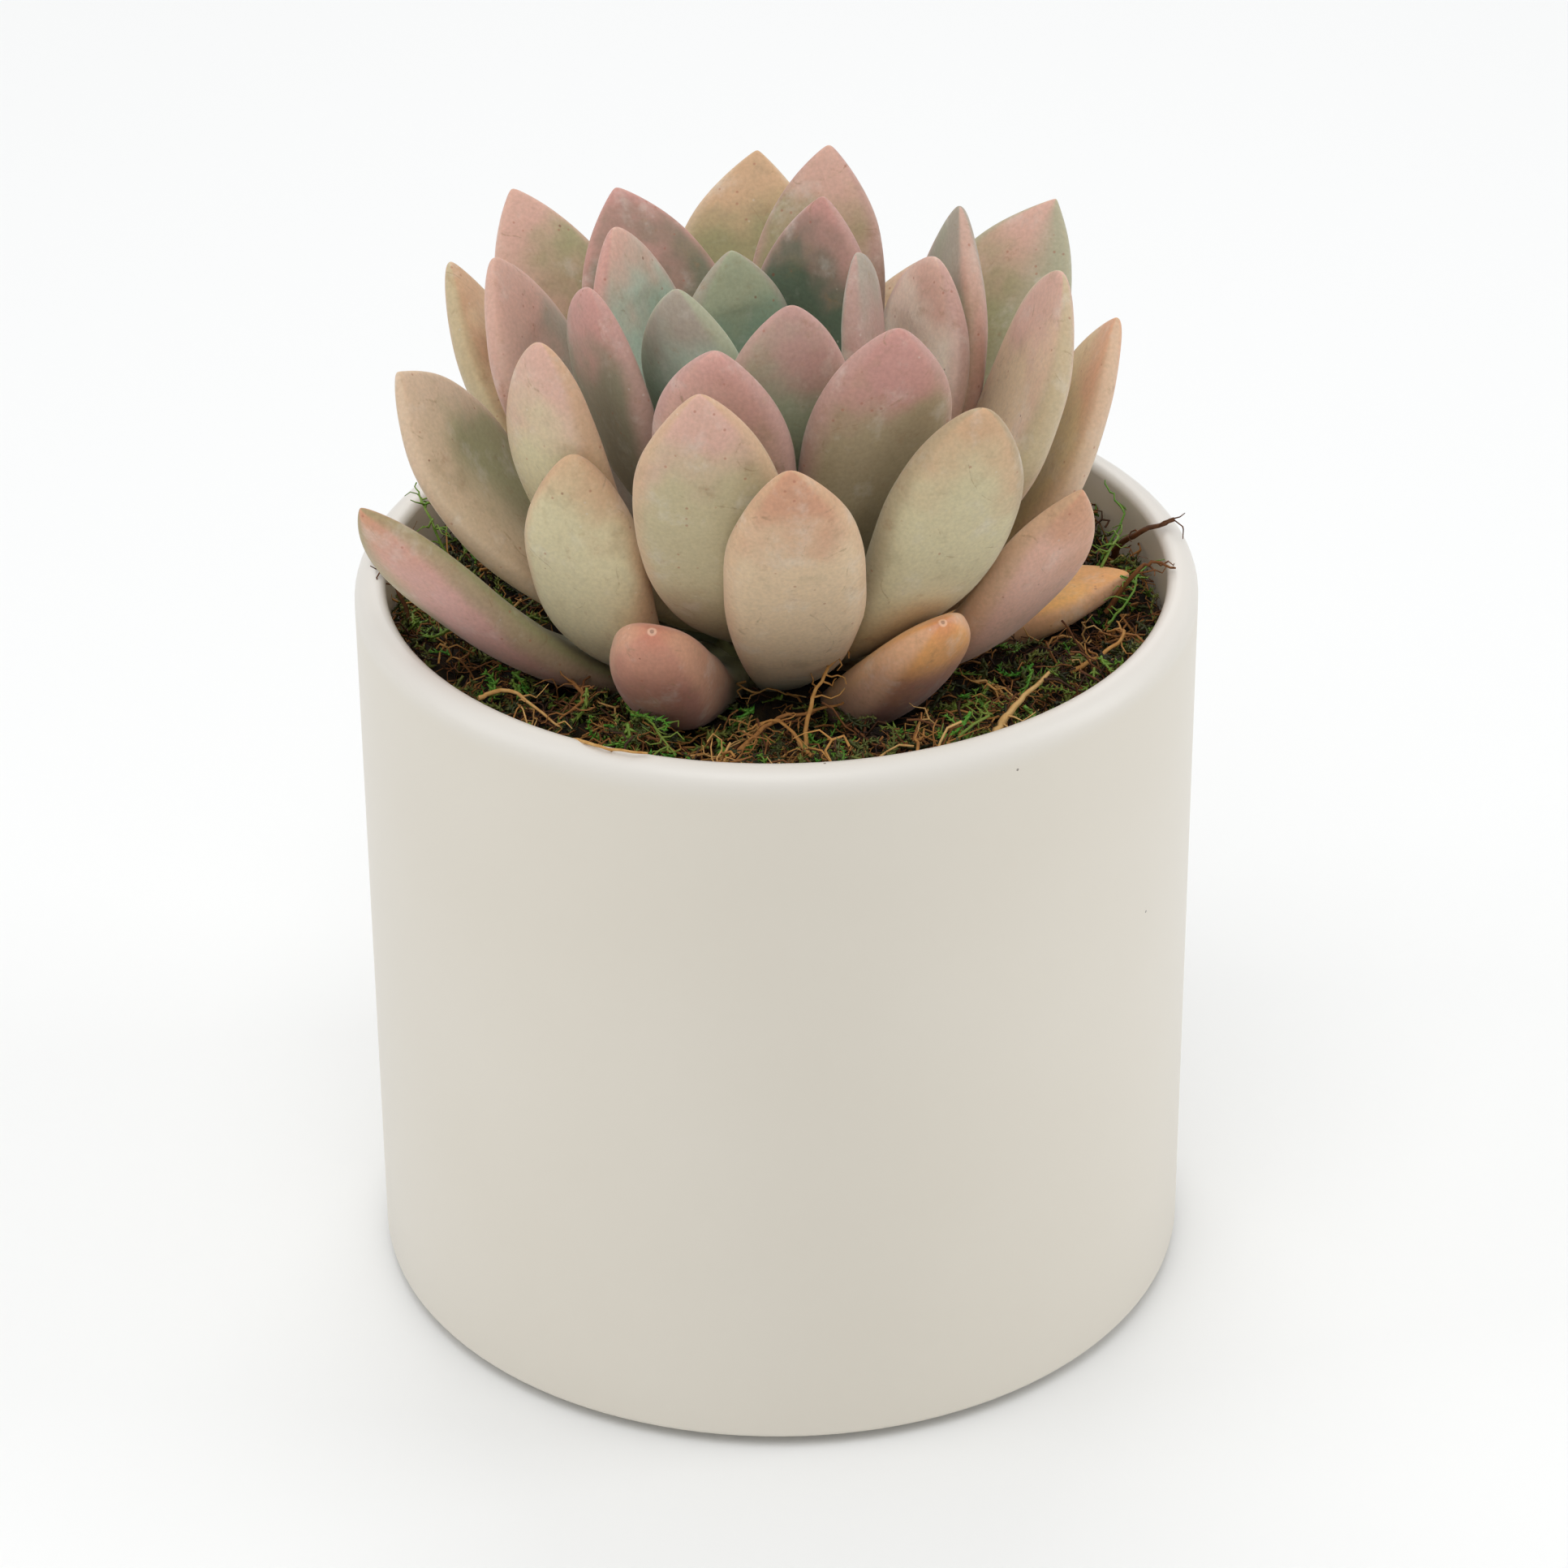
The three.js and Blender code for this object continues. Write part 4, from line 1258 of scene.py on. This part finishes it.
def join_and_finish(objects, name, material):
    select_only(*objects)
    bpy.ops.object.join()
    bpy.ops.object.shade_smooth()
    return finish_piece(bpy.context.object, name, material, ["moss"])


brown_fibre = make_moss_fibre("dried_moss_fibre", BROWN_HEXES, 0.8)
green_fibre = make_moss_fibre("living_moss_frond", GREEN_HEXES, 0.6)
join_and_finish([brown_tangle], "moss_brown_strands", brown_fibre)
join_and_finish([golden_tangle, *brown_twigs], "moss_golden_twigs", brown_fibre)
join_and_finish([green_tangle, bright_tangle, *green_twigs], "moss_green_fronds", green_fibre)
for kind in strand_kinds + frond_kinds:
    bpy.data.objects.remove(kind)

# %% [markdown]
# ## The floor and the studio light
# The pot stands on a plain pale floor. A softbox high in front and one high behind do most of the work,
# two tall ones at the sides lighten the pot's flanks, a weak one hangs overhead, and a pale room fills
# the shadows.

# %% Floor, lights and world
FLOOR_HEX = "#F4F5F5"
WORLD_HEX = "#FFFFFF"
WORLD_STRENGTH = 0.62
# name, place, what it points at, width and height in metres, and watts
SOFTBOXES = [
    ("overhead", (-0.1, 0.1, 1.1), (0, 0, 0.1), 0.8, 0.8, 0.75),
    ("left", (-0.95, -0.15, 0.55), (0, 0, 0.08), 0.4, 0.9, 1.4),
    ("right", (0.95, 0.0, 0.45), (0, 0, 0.08), 0.4, 0.9, 2.1),
    ("front", (-0.1, -0.5, 1.1), (0, 0, 0.08), 0.7, 0.7, 3.4),
    ("back", (0.0, 0.9, 0.9), (0, 0, 0.1), 0.9, 0.6, 2.9),
]


def make_floor():
    bpy.ops.mesh.primitive_plane_add(size=6, location=(0, 1.6, 0))
    floor = bpy.context.object
    floor.name = "floor"
    material, tree, shader = new_material("matt_white_table")
    fill_sockets(tree, shader, Base_Color=linear(FLOOR_HEX), Roughness=0.6)
    floor.data.materials.append(material)


def add_softbox(name, place, target, width, height, watts):
    data = bpy.data.lights.new(name, "AREA")
    data.shape = "RECTANGLE"
    data.size = width
    data.size_y = height
    data.energy = watts
    light = bpy.data.objects.new(name, data)
    bpy.context.scene.collection.objects.link(light)
    light.location = place
    light.rotation_euler = (Vector(target) - Vector(place)).to_track_quat("-Z", "Y").to_euler()


def make_world():
    world = bpy.data.worlds.new("pale_room")
    world.use_nodes = True
    background = world.node_tree.nodes["Background"]
    fill_sockets(world.node_tree, background, Color=linear(WORLD_HEX), Strength=WORLD_STRENGTH)
    bpy.context.scene.world = world


bpy.context.scene.view_settings.view_transform = "Standard"
make_floor()
make_world()
for softbox in SOFTBOXES:
    add_softbox(*softbox)
print("softboxes:", len(SOFTBOXES))
